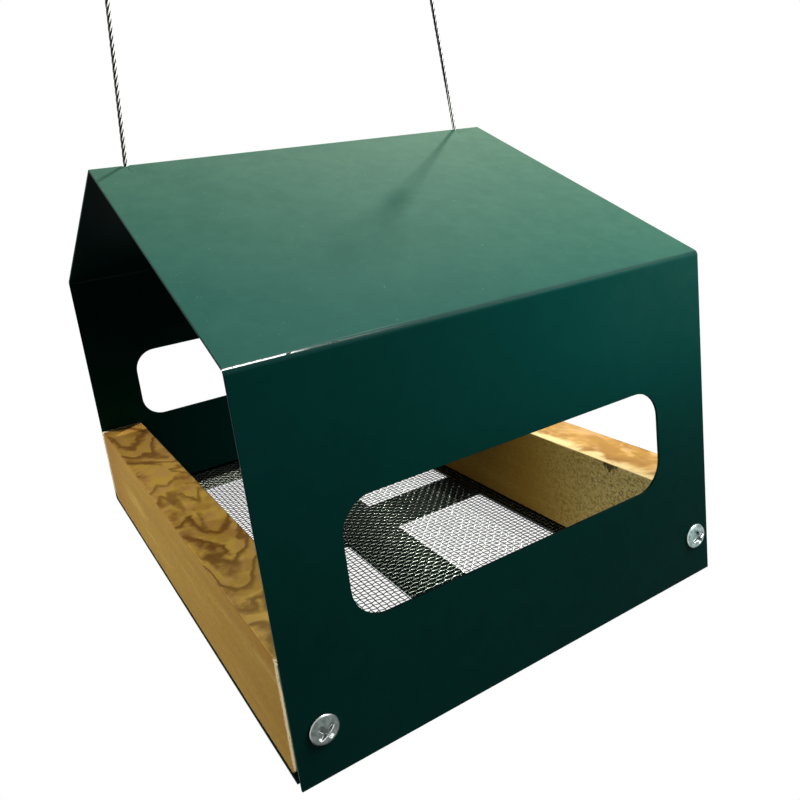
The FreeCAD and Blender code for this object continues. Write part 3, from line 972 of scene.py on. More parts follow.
class FEEDER_OT_mesh(bpy.types.Operator):
    """Weave the floor's wire cloth from two sets of waved wires"""
    bl_idname = "feeder.mesh"
    bl_label = "Weave floor mesh"

    def execute(self, context):
        settings = context.scene.feeder
        shell, mesh = settings.shell, settings.mesh
        half_y = ShellForm(shell).floor_half - shell.bend_radius - mesh.margin
        half_x = shell.length / 2 - mesh.inset
        middle = shell.sheet + mesh.weave
        weft, weft_faces = woven_wires(mesh, half_x, half_y, middle, 1, WEFT_SEED)
        warp, warp_faces = woven_wires(mesh, half_y, half_x, middle, -1, WARP_SEED)
        warp, warp_faces = warp[:, [1, 0, 2]], [group[:, ::-1] for group in warp_faces]
        # Lit and shaded copies of one wire: the warp's low shine is painted shade
        for name, points, faces, shine in (
            ("weft", weft, weft_faces, mesh.weft_shine), ("warp", warp, warp_faces, mesh.warp_shine),
        ):
            finish = galvanised_wire(name + "_wire", settings.finish, middle, mesh.wire, shell.strip, shine)
            wires = make_piece("mesh_" + name, points, faces, finish)
            seat_piece(wires, "feeder", "mesh_wire", "floor_mesh")
        return {"FINISHED"}


# Rails

def rail_section(rail, half):
    """A rounded rectangle's points (across, up), their normals and their distances round it.

    A normal points from the nearest place of a smaller rectangle, which is one rounding inside."""
    corners = rounded_loop((0, 0), half, rail.edge_round, RAIL_CORNER_STEPS)
    corners = np.concatenate([corners, corners[:1]])
    share = distances(corners)
    around = np.unique(np.concatenate([share[:-1], np.arange(0, share[-1], RAIL_AROUND)]))
    section = np.stack([np.interp(around, share, corners[:, axis]) for axis in (0, 1)], axis=1)
    normal = unit(section - np.clip(section, rail.edge_round - half, half - rail.edge_round))
    return section, normal, around


def rail_arrays(form, rail, bottom, end):
    """That section carried along y: each of its points goes as far as the wall at its height.

    Sawn fibres lift the surface a little along long narrow ripples, and a slow swell bends it. Towards each
    end the section draws in round the end's edge, and rings of shrinking size close the end face."""
    half = np.array([rail.thickness / 2, (rail.top - bottom) / 2])
    centre_x = end * (form.sizes.length - rail.thickness) / 2
    centre_z = (rail.top + bottom) / 2
    section, normal, around = rail_section(rail, half)
    inset = form.sizes.sheet + rail.fit
    heights = [bottom, bottom + rail.ease, rail.top]
    reaches = [form.wall_y(height, inset) - rail.end_round for height in heights]
    reaches[0] -= rail.ease

    def reach(outline):
        return np.interp(outline[:, 1] + centre_z, heights, reaches)

    def end_ring(outline, out):
        return np.stack([outline[:, 0], reach(outline) + out, outline[:, 1]], axis=1)

    rings = [
        end_ring(section - normal * rail.end_round * (1 - math.cos(turn)), rail.end_round * math.sin(turn))
        for turn in np.radians(RAIL_END_TURNS)
    ]
    for share in RAIL_END_SHARES:
        rings.append(end_ring((section - normal * rail.end_round) * share, rail.end_round))
    along = np.linspace(-1, 1, RAIL_STATIONS)[:, None] * reach(section)
    fibres = sines(along / FIBRE_STRETCH, around[None, :], FIBRE_WAVES, FIBRE_SEED + end)
    swell = sines(along, around[None, :] * SWELL_STRETCH, SWELL_WAVES, SWELL_SEED + end)
    lifted = section + (rail.fur * fibres + rail.fur * swell)[:, :, None] * normal
    bar = np.stack([lifted[:, :, 0], along, lifted[:, :, 1]], axis=-1)
    points = np.concatenate([np.array(rings[::-1]) * [1, -1, 1], bar, rings]) + [centre_x, 0, centre_z]
    return points.reshape(-1, 3), tube_faces(1, *points.shape[:2])


class RailWood(Finish):
    """Sawn softwood, with the coordinates, noises and colours that its faces share."""

    def __init__(self, colours, form, rail):
        super().__init__("rail_wood", {"Specular IOR Level": 0.07})
        self.colours = colours
        self.form = form
        self.rail = rail
        self.outer = form.sizes.length / 2
        self.late = tuple(colours.wood_late)
        self.x, self.y, self.z = self.axes("Object")
        self.right = self.step(self.x, 0.0, 0.01)
        self.cloud = self.noise(60.0, 3.0, 0.6)
        self.dapple = self.noise(160.0, 3.0, 0.6) * 0.5 + self.cloud * 0.5

    def top(self):
        """Flat-sawn tops: rings are level sets of the distance along the rail, bowed across it, plus swirl.

        The outer edges are stained. The left rail has painted shade to the back and painted light to the
        front. The right one is redder and patchy, with a painted highlight along its inner edge."""
        x, y, colours, late = self.x, self.y, self.colours, self.late
        swirl = self.noise((42.0, 20.0, 26.0), 2.0, 0.5, 1.1)
        waver = self.noise(260.0, 3.0, 0.6)
        across = (abs(x) - (self.outer - self.rail.thickness / 2)) / (self.rail.thickness / 2)
        rings = ((y - across * across * 0.012) * 40.0 + swirl * 4.8 + waver * 0.5).fraction()
        strength = self.step(self.noise((20.0, 14.0, 20.0), 1.0, 0.5), 0.3, 0.6, 0.62, 1.0)
        strength = strength * (1 - self.right * 0.35)
        bands = self.step(rings, 0.16, 0.52) * self.fall(rings, 0.56, 0.76) * strength
        blush = self.step(self.noise(130.0, 3.0, 0.6), 0.45, 0.6)
        edge = self.step(abs(x), self.outer - 0.0055, self.outer - 0.0008)
        stain = edge * self.step(self.dapple, 0.42, 0.6)
        left = self.step(-x, 0.0, 0.01)
        patch = self.noise((60.0, 42.0, 60.0), 3.0, 0.6, 0.5, shift=(0.3, 0.1, 0.0))
        ragged = x + (patch - 0.5) * 0.02 + waver * 0.002
        # Painted highlight: a pale band along the right rail's inner top edge
        inner_edge_highlight = self.right * self.fall(ragged, self.outer - 0.0175, self.outer - 0.0125)
        return self.coats(
            colours.wood,
            (blush * 0.6, colours.wood_red),
            (bands, dimmed(late, 0.72)),
            (self.step(self.cloud, 0.52, 0.64) * 0.4 * (1 - self.right * 0.3), late),
            (stain * 0.65, late),
            # Painted shade: the left rail's top darkens to the back
            (left * self.step(y, 0.02, 0.1) * (0.52 + 0.3 * bands), dimmed(late, 0.6)),
            # Painted light: the left rail's top pales to the front
            (left * self.step(-y, 0.03, 0.1) * 0.13, colours.sawdust),
            (self.right * self.fall(patch, 0.38, 0.52) * 0.35, colours.wood_torn),
            (self.right * 0.6, colours.wood_red),
            (self.right * self.step(patch, 0.44, 0.56) * 0.5, late),
            # Painted highlight along the right rail's inner edge
            (inner_edge_highlight * 0.75, halfway(colours.wood_torn, colours.sawdust)),
        )

    def side(self, middle):
        """Plain sides: dappled and fuzzy, browner towards both ends, with long dark and pale streaks."""
        y, late = self.y, self.late
        fuzz = self.noise((1300.0, 420.0, 1300.0), 2.0, 0.6)
        streak = self.noise((30.0, 9.0, 150.0), 3.0, 0.6, 0.4)
        return self.coats(
            dimmed(self.colours.wood, 0.77),
            (self.step(self.dapple, 0.35, 0.68) * 0.3, middle),
            (self.step(fuzz, 0.35, 0.7) * 0.3, late),
            (self.step(y, 0.05, 0.11) * 0.48 + self.step(-y, 0.05, 0.11) * 0.2, late),
            (self.step(streak, 0.42, 0.62) * 0.2, late),
            (self.fall(streak, 0.3, 0.4) * 0.15, self.colours.sawdust),
        )

    def paint(self):
        """Tops and sides meet at edges darkened by painted shade, and the sawn ends are torn and pale.

        Inner faces have painted shade towards the back, and are rough sawn, flecked and painted lighter
        towards the front. The right one has a dark chipped notch."""
        x, y, z, colours, late = self.x, self.y, self.z, self.colours, self.late
        endward, _, up = self.axes("Normal")
        middle = halfway(colours.wood, late)
        fibre = self.noise((900.0, 30.0, 900.0), 3.0, 0.6)
        speckle = self.noise((1500.0, 900.0, 1100.0), 3.0, 0.7)
        fleck = self.step(self.noise((1400.0, 800.0, 1000.0), 2.0, 0.6), 0.52, 0.66)
        hair = self.noise((200.0, 760.0, 90.0), 2.0, 0.6)
        tear = self.noise((1400.0, 500.0, 700.0), 2.0, 0.7)
        inner = self.step(-x * endward, 0.03, 0.05)
        # Painted shade: inner faces darken towards the back, more high up
        inner_shade = inner * self.fall(-y, -0.01, 0.07) * (0.62 + 0.33 * self.step(z, 0.01, 0.032))
        # Rough sawn texture towards the front, whose pale colour is also painted light
        rough_sawn_and_lit = inner * self.step(-y, 0.035, 0.1)
        notch_y = -0.087
        hang = (hair - 0.42) * 0.02 * self.fall(abs(y - notch_y), 0.002, 0.007)
        chipped = inner * self.right * self.fall(self.rail.top - z - hang, -0.0004, 0.0004)
        reach = self.form.wall_y(0.0, self.form.sizes.sheet + self.rail.fit) - z * math.tan(self.form.lean)
        torn = self.fall(reach - abs(y) + (tear - 0.5) * 0.003, 0.0018, 0.0036) * self.step(tear, 0.3, 0.46)
        shade = self.coats(
            self.side(middle),
            (self.step(up, 0.5, 0.9), self.top()),
            (self.step(fibre, 0.45, 0.8) * 0.17, middle),
            # Painted shade on the rounded long edges, which would otherwise catch more light
            (self.step(up, 0.12, 0.45) * self.fall(up, 0.8, 0.99) * 0.5, late),
            (inner_shade, dimmed(late, 0.2)),
            # Rough sawn speckle in a pale colour, painted light towards the front
            (rough_sawn_and_lit * self.step(speckle, 0.3, 0.62), colours.sawdust),
            (inner * self.step(-y, 0.06, 0.1) * fleck * 0.8, colours.wood_torn),
            (chipped * 0.85, dimmed(late, 0.1)),
            (torn, colours.wood_torn),
        )
        return self.done(
            shade, 0.75 - 0.2 * fibre, fibre * 0.6 + tear * torn + speckle * rough_sawn_and_lit, 0.4, 0.0004
        )


class FEEDER_OT_rails(bpy.types.Operator):
    """Saw the two wooden rails and lay them on the mesh across the open ends"""
    bl_idname = "feeder.rails"
    bl_label = "Saw rails"

    def execute(self, context):
        settings = context.scene.feeder
        form = ShellForm(settings.shell)
        wood = RailWood(settings.finish, form, settings.rail).paint()
        bottom = settings.shell.sheet + 2 * settings.mesh.weave
        for name, end in ENDS.items():
            points, faces = rail_arrays(form, settings.rail, bottom, end)
            rail = make_piece("wood_rail_" + name, points, faces, wood)
            seat_piece(rail, "feeder", "rail_wood", "rail_" + name)
        return {"FINISHED"}


# Screws

def head_grid(screw):
    """Places (x, y) of a square grid that is pressed into a disc, with lines along the recess's walls.

    A grid place (p, q) goes to p times the root of one less half q squared, and the same the other way
    round."""
    decimals = 8
    radius = screw.head_diameter / 2
    wing, reach, taper = screw.recess_width / 2, screw.recess_span / 2, screw.recess_taper
    stops = (0, wing - taper / 2, wing + taper / 2, reach - taper, reach + taper, radius)
    spans = [np.linspace(*span) for span in zip(stops, stops[1:], HEAD_SPAN_POINTS)]
    half = np.unique(np.round(np.concatenate(spans), decimals)) / radius
    line = np.concatenate([-half[:0:-1], half])
    p, q = np.meshgrid(line, line, indexing="ij")
    return radius * p * np.sqrt(1 - q ** 2 / 2), radius * q * np.sqrt(1 - p ** 2 / 2)


def cross_recess(screw, x, y):
    """Depth of the recess: the deeper of two slots whose floors rise to their ends and whose walls slope."""
    floor_rise, floor_curve = 0.62, 1.6
    wing, reach, taper = screw.recess_width / 2, screw.recess_span / 2, screw.recess_taper

    def slot(a, b):
        floor = screw.recess_depth * (1 - floor_rise * np.clip(np.abs(a) / reach, 0, 1) ** floor_curve)
        end = np.clip((reach + taper - np.abs(a)) / (2 * taper), 0, 1)
        return floor * end * np.clip((wing + taper / 2 - np.abs(b)) / taper, 0, 1)

    return np.maximum(slot(x, y), slot(y, x))


def screw_head(screw):
    """A domed head on that grid, with the recess, an upright rim and a seat.

    The dome is a ball's cap, drawn down near the rim by a square. UV is the share of the recess's depth, and
    of the head's radius."""
    rim_drop = 0.6
    skirt = ((1.0, screw.head_rim / 4), (0.985, 0.0), (0.2, 0.0))
    radius = screw.head_diameter / 2
    x, y = head_grid(screw)
    out = np.hypot(x, y)
    sunk = cross_recess(screw, x, y)
    dome = screw.head_height - screw.head_rim
    ball = (radius ** 2 + dome ** 2) / (2 * dome)
    top = screw.head_height - ball + np.sqrt(ball ** 2 - out ** 2)
    near_rim = np.clip((out - radius + screw.rim_round) / screw.rim_round, 0, 1)
    top = top - screw.rim_round * near_rim ** 2 * rim_drop
    points = [np.stack([x, y, top - sunk], axis=-1).reshape(-1, 3)]
    n = len(x)
    places = np.arange(n * n).reshape(n, n)
    border = np.concatenate([places[:-1, 0], places[-1, :-1], places[:0:-1, -1], places[0, :0:-1]])
    rim = points[0][border]
    faces = [grid_faces(n, n)[:, ::-1]]
    upper = border
    for share, level in skirt:
        lower = sum(len(group) for group in points) + np.arange(len(border))
        points.append(rim * [share, share, 0] + [0, 0, level])
        faces.append(np.stack([upper, np.roll(upper, -1), np.roll(lower, -1), lower], axis=1)[:, ::-1])
        upper = lower
    faces.append(upper[None, :])
    points = np.concatenate(points)
    uv = np.zeros((len(points), 2))
    uv[:n * n] = np.stack([sunk / screw.recess_depth, out / radius], axis=-1).reshape(-1, 2)
    return points, faces, uv


def screw_shank(screw):
    """A pointed shank: its radius is the core's plus a thread, a triangle wave of height less turn."""
    into_head, blunt, sharp = 0.0004, 0.06, 2.2
    levels = np.linspace(into_head, -screw.length, SHANK_RINGS)[:, None]
    spin = circle(SHANK_SIDES)
    wave = np.abs(((levels / screw.thread_pitch - spin / (2 * math.pi)) % 1) * 2 - 1)
    thin = np.clip((levels + screw.length) / screw.point, blunt, 1)
    core, crest = screw.core / 2, screw.diameter / 2
    thick = (core + (crest - core) * np.clip(1 - sharp * wave, 0, 1)) * thin
    heights = np.broadcast_to(levels, thick.shape)
    points = np.stack([thick * np.cos(spin), thick * np.sin(spin), heights], axis=-1)
    return points.reshape(-1, 3), [group[:, ::-1] for group in tube_faces(1, SHANK_RINGS, SHANK_SIDES)]


def screw_zinc(colours):
    """Zinc plating: cloudy and weathered on the faces, painted lighter at the right end as painted
    reflection, with a painted highlight at the rim.

    The recess has painted shade, apart from a painted highlight on the upper part of its walls that look up."""
    finish = Finish("screw_zinc", {"Metallic": 1.0})
    x, _, _ = finish.axes("Object")
    _, _, up = finish.axes("Normal")
    sunk, out, _ = finish.axes("UV")
    cloud = finish.noise(700.0, 4.0, 0.7)
    grain = finish.noise(2600.0, 2.0, 0.5)
    # Dark plating for the weathered clouds, also used as painted shade in the recess
    dirt_and_shade = dimmed(colours.zinc, 0.35)
    recess = finish.step(sunk, 0.02, 0.12)
    # Painted highlight on the recess's upper walls that look up
    lit_walls = recess * finish.step(up, 0.12, 0.4) * finish.fall(sunk, 0.6, 0.9)
    plating = finish.coats(
        colours.zinc,
        # Painted reflection: the right end's screws are lighter
        (finish.step(x, -0.04, 0.04), colours.zinc_lit),
        (finish.fall(cloud, 0.36, 0.62) * 0.6, dirt_and_shade),
        # Painted shade in the recess
        (recess * 0.75, dirt_and_shade),
        # Painted highlights on the upward recess walls and on the rim
        (lit_walls.larger(finish.step(out, 0.93, 0.99) * 0.6), colours.zinc_highlight),
    )
    return finish.done(plating, 0.2 + 0.22 * grain, cloud * 0.5 + grain * 0.5, 0.2, 0.00006)


class FEEDER_OT_screws(bpy.types.Operator):
    """Drive the four pan-head screws through the walls into the rails"""
    bl_idname = "feeder.screws"
    bl_label = "Drive screws"

    def execute(self, context):
        settings = context.scene.feeder
        form = ShellForm(settings.shell)
        screw = settings.screw
        rail_span = settings.shell.length - settings.rail.thickness
        zinc = screw_zinc(settings.finish)
        head, head_faces, head_uv = screw_head(screw)
        shank, shank_faces = screw_shank(screw)
        local = np.concatenate([head, shank])
        faces = head_faces + [group + len(head) for group in shank_faces]
        uv = np.concatenate([head_uv, np.zeros((len(shank), 2))])
        across = np.array([1.0, 0.0, 0.0])
        for wall, side in WALLS.items():
            out = np.array([0.0, side * math.cos(form.lean), math.sin(form.lean)])
            up = np.cross(out, across)
            for end in ENDS:
                name = wall + "_" + end
                turn = math.radians(SCREW_PLACES[name][0])
                axes = np.stack([
                    across * math.cos(turn) + up * math.sin(turn),
                    up * math.cos(turn) - across * math.sin(turn),
                    out,
                ])
                screw_x = screw_along(wall, end, rail_span)
                seat = np.array([screw_x, side * form.wall_y(screw.height, 0), screw.height])
                piece = make_piece("screw_" + name, seat + local @ axes, faces, zinc, uv)
                seat_piece(piece, "feeder", "screw_zinc", "rail_screw_" + name)
        return {"FINISHED"}


# Cables

# Points (along, across) of a cable in metres, from its bend at the ridge up and round the eye
CABLE_ROUTE = (
    (0.0, 0.0), (0.054, 0.00105), (0.076, 0.00105), (0.08385, 0.0089), (0.09485, 0.0089), (0.1, 0.0),
    (0.09485, -0.0089), (0.08385, -0.0089), (0.076, -0.00105), (0.0585, -0.00105),
)
EYE_SPREAD = CABLE_ROUTE[1][1]


class CableForm:
    """Where a cable bends above its hole, the way it runs to the hook, and the way across it."""

    def __init__(self, settings, end):
        cable = settings.cable
        form = ShellForm(settings.shell)
        radius = cable.diameter / 2
        rise = (radius + cable.running_gap) / math.cos(form.slope)
        self.bore = radius + cable.crimp_fit
        self.pivot = np.array([ENDS[end] * cable.spacing / 2, 0.0, form.ridge + rise])
        self.hole = np.array([self.pivot[0], 0.0, form.ridge])
        hook = np.array([cable.hook_x, 0.0, form.ridge + cable.hook_rise])
        self.along = unit(hook - self.pivot)
        self.across = np.array([self.along[2], 0.0, -self.along[0]])
        steepest = math.hypot(math.tan(form.slope), self.along[0] / self.along[2])
        lowest_rim = cable.stop_diameter / 2 * steepest
        below = rise + settings.shell.sheet / math.cos(form.slope) + lowest_rim + cable.stop_gap
        self.stop_end = below / self.along[2] + cable.stop_length
        self.tail = self.stop_end + cable.tail_proud

    def points(self):
        """The route's points, from the tail's end under the ridge up round the eye."""
        route = np.array([(-self.tail, 0.0), *CABLE_ROUTE])
        return self.pivot + route[:, :1] * self.along + route[:, 1:] * self.across


def smooth_line(points, smoothness):
    """Points read from a NURBS curve of order three whose control points are the route's."""
    curve = bpy.data.curves.new("route", "CURVE")
    curve.dimensions = "3D"
    curve.resolution_u = smoothness
    spline = curve.splines.new("NURBS")
    spline.points.add(len(points) - 1)
    spline.points.foreach_set("co", np.column_stack([points, np.ones(len(points))]).ravel())
    spline.order_u = 3
    spline.use_endpoint_u = True
    holder = bpy.data.objects.new("route", curve)
    bpy.context.scene.collection.objects.link(holder)
    bpy.context.view_layer.update()
    depsgraph = bpy.context.evaluated_depsgraph_get()
    mesh = bpy.data.meshes.new_from_object(holder.evaluated_get(depsgraph))
    read = np.empty(len(mesh.vertices) * 3)
    mesh.vertices.foreach_get("co", read)
    bpy.data.objects.remove(holder)
    bpy.data.curves.remove(curve)
    bpy.data.meshes.remove(mesh)
    return read.reshape(-1, 3)


def rope_arrays(line, cable):
    """A rope of strands round a thin core: each strand is a lobed section carried along a helix.

    The line lies in one upright plane, so the y axis and the normal in that plane frame it. The strands
    touch their neighbours and the rope's outer circle. Their centres turn once per lay, and their own lobes
    turn the other way. UV is how far a point faces along that normal, and out of the rope."""
    core_share, lobes, lobe_depth, lobe_lay = 0.6, 6, 0.07, 0.55 * cable.lay
    along = distances(line)
    tangent = unit(np.gradient(line, along, axis=0))
    normal = unit(np.cross(Y_AXIS, tangent))
    strands = cable.strands
    share = math.sin(math.pi / strands)
    strand = cable.diameter / 2 * share / (1 + share)
    offset = cable.diameter / 2 - strand
    offsets = np.array([0.0] + [offset] * strands)
    radii = np.array([offset * core_share] + [strand] * strands)
    starts = np.arange(strands + 1) * 2 * math.pi / strands
    turn = along * 2 * math.pi / cable.lay + starts[:, None]
    radial = np.cos(turn)[..., None] * normal + np.sin(turn)[..., None] * Y_AXIS
    centres = line + offsets[:, None, None] * radial
    ways = unit(np.gradient(centres, along, axis=1))
    beside = unit(np.cross(ways, radial))
    outward = np.cross(beside, ways)
    spin = circle(cable.strand_sides)
    twist = along[None, :, None] * 2 * math.pi / lobe_lay
    thick = radii[:, None, None] * (1 - lobe_depth + lobe_depth * np.cos(lobes * spin + twist))
    ring = np.cos(spin)[:, None] * outward[:, :, None, :] + np.sin(spin)[:, None] * beside[:, :, None, :]
    points = centres[:, :, None, :] + thick[..., None] * ring
    crown = np.clip(np.einsum("sncx,snx->snc", ring, radial), -1, 1)
    crown[0] = -1
    facing = np.einsum("sncx,nx->snc", unit(points - line[None, :, None, :]), normal)
    uv = np.stack([facing, crown], axis=-1)
    return points.reshape(-1, 3), tube_faces(*points.shape[:3]), uv.reshape(-1, 2)


def rope_steel(colours):
    """Galvanised strands: a painted highlight on the crowns to the right, painted shade on the left side and
    in the grooves.

    The right cable is painted lighter all round where it leaves the ridge."""
    finish = Finish("cable_steel", {"Metallic": 0.65, "Specular IOR Level": 0.05})
    x, _, z = finish.axes("Object")
    facing, crown, _ = finish.axes("UV")
    grain = finish.noise((2400.0, 2400.0, 500.0), 3.0, 0.6)
    cloud = finish.noise(160.0, 2.0, 0.5)
    bright = finish.blend(cloud, dimmed(colours.steel, 0.85), colours.steel)
    # Painted light: the right cable is lighter all round just above the ridge
    lit_share = finish.step(x, 0.0, 0.03) * finish.fall(z, 0.172, 0.188) * 0.7
    # Painted light and shade: strands are bright where they face right and dark where they face left
    rubbed_and_lit = finish.step(facing, -0.5, -0.15).larger(lit_share)
    strand = finish.blend(rubbed_and_lit, dimmed(colours.steel, 0.05), bright)
    # Painted shade: near black in the grooves and on the core
    shade = finish.blend(finish.step(crown, 0.4, 0.75), dimmed(colours.steel, 0.01), strand)
    return finish.done(shade, 0.3 + 0.25 * grain, grain, 0.25, 0.00005)


def sleeve_arrays(form, start, length, wall, spread, dent):
    """A crimped sleeve: a loop of outer and inner rings, each a circle that the spread draws apart.

    Two press marks draw the outer rings in by a squared cosine, and both mouths are rounded."""
    mark_places, mark_half, mouth_share, decimals = (0.3, 0.7), 0.13, 0.4, 9
    outside = form.bore + wall
    rim = wall * mouth_share
    level = np.linspace(rim, length - rim, SLEEVE_RINGS)
    gaps = [np.clip((level / length - mark) / mark_half, -1, 1) for mark in mark_places]
    press = np.max(np.cos(np.array(gaps) * math.pi / 2) ** 2, axis=0)
    turn = np.linspace(0, math.pi / 2, SLEEVE_MOUTH_RINGS)
    low_mouth = np.stack([outside - rim * (1 - np.sin(turn)), rim * (1 - np.cos(turn))], axis=1)
    high_mouth = low_mouth[::-1] * [1, -1] + [0, length]
    outer = np.stack([outside - dent * press, level], axis=1)
    down = np.linspace(length, 0, SLEEVE_BORE_RINGS)
    inner = np.stack([np.full_like(down, form.bore), down], axis=1)
    profile = np.concatenate([low_mouth, outer[1:-1], high_mouth, inner])
    radius, height = profile[:, :1], profile[:, 1:]
    spin = circle(SLEEVE_SIDES)
    sideways = radius * np.cos(spin) + spread * np.sign(np.round(np.cos(spin), decimals))
    deep = radius * np.sin(spin)
    ring = sideways[..., None] * form.across + deep[..., None] * Y_AXIS
    points = form.pivot + form.along * start + ring + height[..., None] * form.along
    faces = grid_faces(len(profile), SLEEVE_SIDES, wrap_rows=True, wrap_columns=True)
    return points.reshape(-1, 3), [faces]


def sleeve_metal(colours):
    """Pressed soft metal: dull, cloudy and scuffed lengthwise."""
    finish = Finish("sleeve_metal", {"Metallic": 1.0})
    scuff = finish.noise((1800.0, 1800.0, 300.0), 3.0, 0.6)
    cloud = finish.noise(350.0, 2.0, 0.5)
    rubbed_and_lit = finish.step(scuff * 0.6 + cloud * 0.4, 0.35, 0.65)
    shade = finish.blend(rubbed_and_lit, dimmed(colours.sleeve, 0.55), colours.sleeve)
    return finish.done(shade, 0.32 + 0.3 * cloud, scuff, 0.3, 0.00008)


class FEEDER_OT_crimps(bpy.types.Operator):
    """Press the stops under the ridge and the sleeves below the eyes"""
    bl_idname = "feeder.crimps"
    bl_label = "Press crimps"

    def execute(self, context):
        settings = context.scene.feeder
        cable = settings.cable
        dent = cable.crimp_dent
        metal = sleeve_metal(settings.finish)
        for end in ENDS:
            form = CableForm(settings, end)
            points, faces = sleeve_arrays(
                form, cable.crimp_start, cable.crimp_length, cable.crimp_wall, EYE_SPREAD, dent
            )
            sleeve = make_piece("eye_sleeve_" + end, points, faces, metal)
            seat_piece(sleeve, "hanger", "sleeve_metal", "crimp_sleeve_" + end)
            wall = cable.stop_diameter / 2 - form.bore
            points, faces = sleeve_arrays(form, -form.stop_end, cable.stop_length, wall, 0.0, dent)
            stop = make_piece("ridge_stop_" + end, points, faces, metal)
            seat_piece(stop, "feeder", "sleeve_metal", "cable_stop_" + end)
        return {"FINISHED"}


class FEEDER_OT_cables(bpy.types.Operator):
    """Lay the two wire ropes from their stops under the ridge up round their eyes"""
    bl_idname = "feeder.cables"
    bl_label = "Lay cables"

    def execute(self, context):
        settings = context.scene.feeder
        cable = settings.cable
        steel = rope_steel(settings.finish)
        for end in ENDS:
            form = CableForm(settings, end)
            line = smooth_line(form.points(), cable.smoothness)
            points, faces, uv = rope_arrays(line, cable)
            rope = make_piece("rope_" + end, points, faces, steel, uv)
            bend = form.along * cable.diameter
            form.pivot - bend
            form.pivot + bend
            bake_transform(rope)
            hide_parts("cable_" + end, "cable_tail_" + end)
        return {"FINISHED"}


# Stage

def seen_directly(tree):
    """1 for what the camera sees, itself or in a reflection or through a clear piece, and 0 for light."""
    path = tree.node("ShaderNodeLightPath").socket.node.outputs
    rays = [Field(tree, path[name]) for name in ("Is Camera Ray", "Is Glossy Ray", "Is Transmission Ray")]
    return rays[0].larger(rays[1]).larger(rays[2])


def studio_floor(tint):
    """Pale floor: plain near the feeder, where it keeps the shadow, and seen as white further off."""
    constants = {"Base Color": opaque(tint), "Roughness": 0.9, "Specular IOR Level": 0.0}
    finish = Finish("studio_floor", constants)
    x, y, _ = finish.axes("Object")
    far = finish.step(x * x + y * y, 0.05, 0.3, 0.6, 1.0)
    white = finish.node("ShaderNodeEmission", None, {"Color": opaque(WHITE), "Strength": 1.0})
    finish.show(seen_directly(finish) * far, finish.principled(), white)
    return finish.material


def studio_world(world, tint, strength):
    """Dim even light all round, and white where it is seen."""
    world.use_nodes = True
    tree = Tree(world.node_tree)
    dim, white = (
        tree.node("ShaderNodeBackground", None, {"Color": opaque(shade), "Strength": power})
        for shade, power in ((tint, strength), (WHITE, 1.0))
    )
    tree.show(seen_directly(tree), dim, white)


def add_lamp(name, where, power, width, tint):
    """A round lamp that faces the feeder's middle."""
    light = bpy.data.lights.new(name, "AREA")
    light.shape = "DISK"
    light.size = width
    light.energy = power
    light.color = tint
    lamp = bpy.data.objects.new(name, light)
    lamp.location = where
    aim = (CAD_BOX[0] + CAD_BOX[1]) / 2 - lamp.location
    lamp.rotation_euler = aim.to_track_quat("-Z", "Y").to_euler()
    bpy.context.scene.collection.objects.link(lamp)


def add_camera(stage):
    """The camera, shifted to the photograph's framing."""
    camera = bpy.data.cameras.new("camera")
    camera.lens = stage.lens
    camera.sensor_width = stage.sensor
    camera.shift_x = stage.shift_x
    camera.shift_y = stage.shift_y
    camera.clip_start = stage.clip_start
    holder = bpy.data.objects.new("camera", camera)
    holder.location = stage.camera_place
    holder.rotation_euler = stage.camera_turn
    bpy.context.scene.collection.objects.link(holder)
    return holder


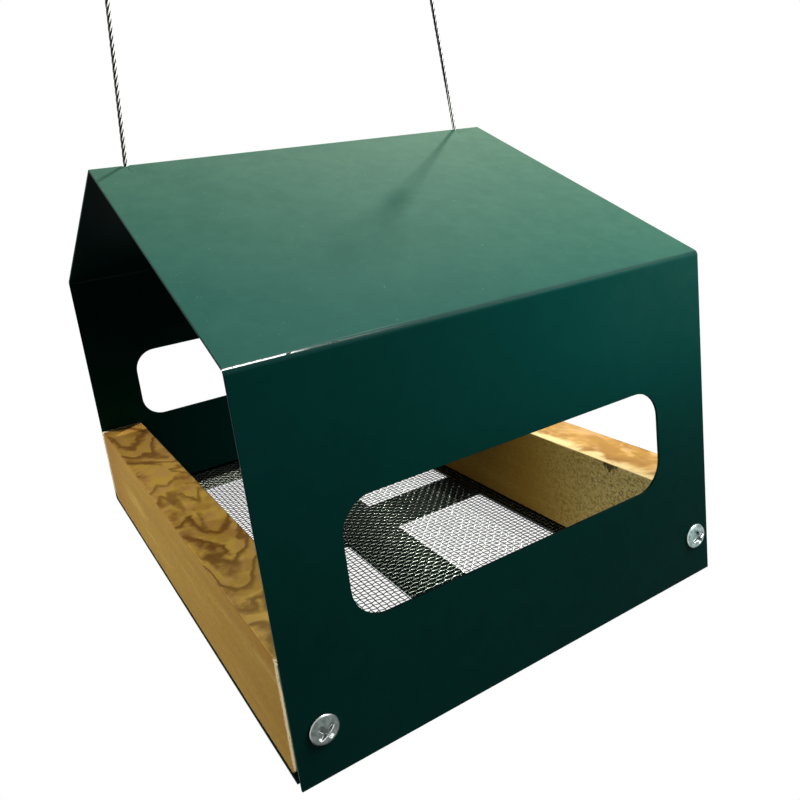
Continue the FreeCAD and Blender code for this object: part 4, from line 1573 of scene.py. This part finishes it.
class FEEDER_OT_stage(bpy.types.Operator):
    """Set the floor, the lamps, the white surroundings and the camera"""
    bl_idname = "feeder.stage"
    bl_label = "Set stage"

    def execute(self, context):
        scene = context.scene
        stage, lamps, colours = scene.feeder.stage, scene.feeder.lamps, scene.feeder.finish
        turn = circle(FLOOR_SIDES)
        disc = np.stack([np.cos(turn), np.sin(turn), np.zeros(FLOOR_SIDES)], axis=1) * stage.floor_radius
        disc[:, 2] = stage.floor_height
        floor = make_piece("floor", disc, [np.arange(FLOOR_SIDES)[None, :]], studio_floor(colours.floor))
        for name in LAMPS:
            add_lamp(name + "_lamp", *(getattr(lamps, name + "_" + part) for part in LAMP_PARTS))
        if scene.world is None:
            scene.world = bpy.data.worlds.new("studio")
        studio_world(scene.world, colours.ambient, stage.ambient)
        scene.camera = add_camera(stage)
        scene.view_settings.view_transform = "Standard"
        return {"FINISHED"}


OPERATORS = (
    FEEDER_OT_stage,
    FEEDER_OT_crimps,
    FEEDER_OT_cables,
    FEEDER_OT_shell,
    FEEDER_OT_mesh,
    FEEDER_OT_rails,
    FEEDER_OT_screws,
)


class FEEDER_PT_panel(bpy.types.Panel):
    """Steps and sizes of the feeder"""
    bl_idname = "FEEDER_PT_panel"
    bl_label = "Hanging bird feeder"
    bl_space_type = "VIEW_3D"
    bl_region_type = "UI"
    bl_category = "Feeder"

    def draw(self, context):
        for operator in OPERATORS:
            self.layout.operator(operator.bl_idname)
        for name in SETTINGS:
            group = getattr(context.scene.feeder, name)
            box = self.layout.box()
            box.label(text=name.capitalize())
            for entry in group.bl_rna.properties:
                if entry.identifier not in ("rna_type", "name"):
                    box.prop(group, entry.identifier)


CLASSES = (*SETTINGS.values(), FeederSettings, *OPERATORS, FEEDER_PT_panel)


def register():
    for entry in CLASSES:
        bpy.utils.register_class(entry)
    bpy.types.Scene.feeder = bpy.props.PointerProperty(type=FeederSettings)


def unregister():
    del bpy.types.Scene.feeder
    for entry in reversed(CLASSES):
        bpy.utils.unregister_class(entry)


def main():
    register()
    bpy.ops.feeder.stage()
    bpy.ops.feeder.crimps()
    bpy.ops.feeder.cables()
    bpy.ops.feeder.shell()
    bpy.ops.feeder.mesh()
    bpy.ops.feeder.rails()
    bpy.ops.feeder.screws()


if __name__ == "__main__":
    main()
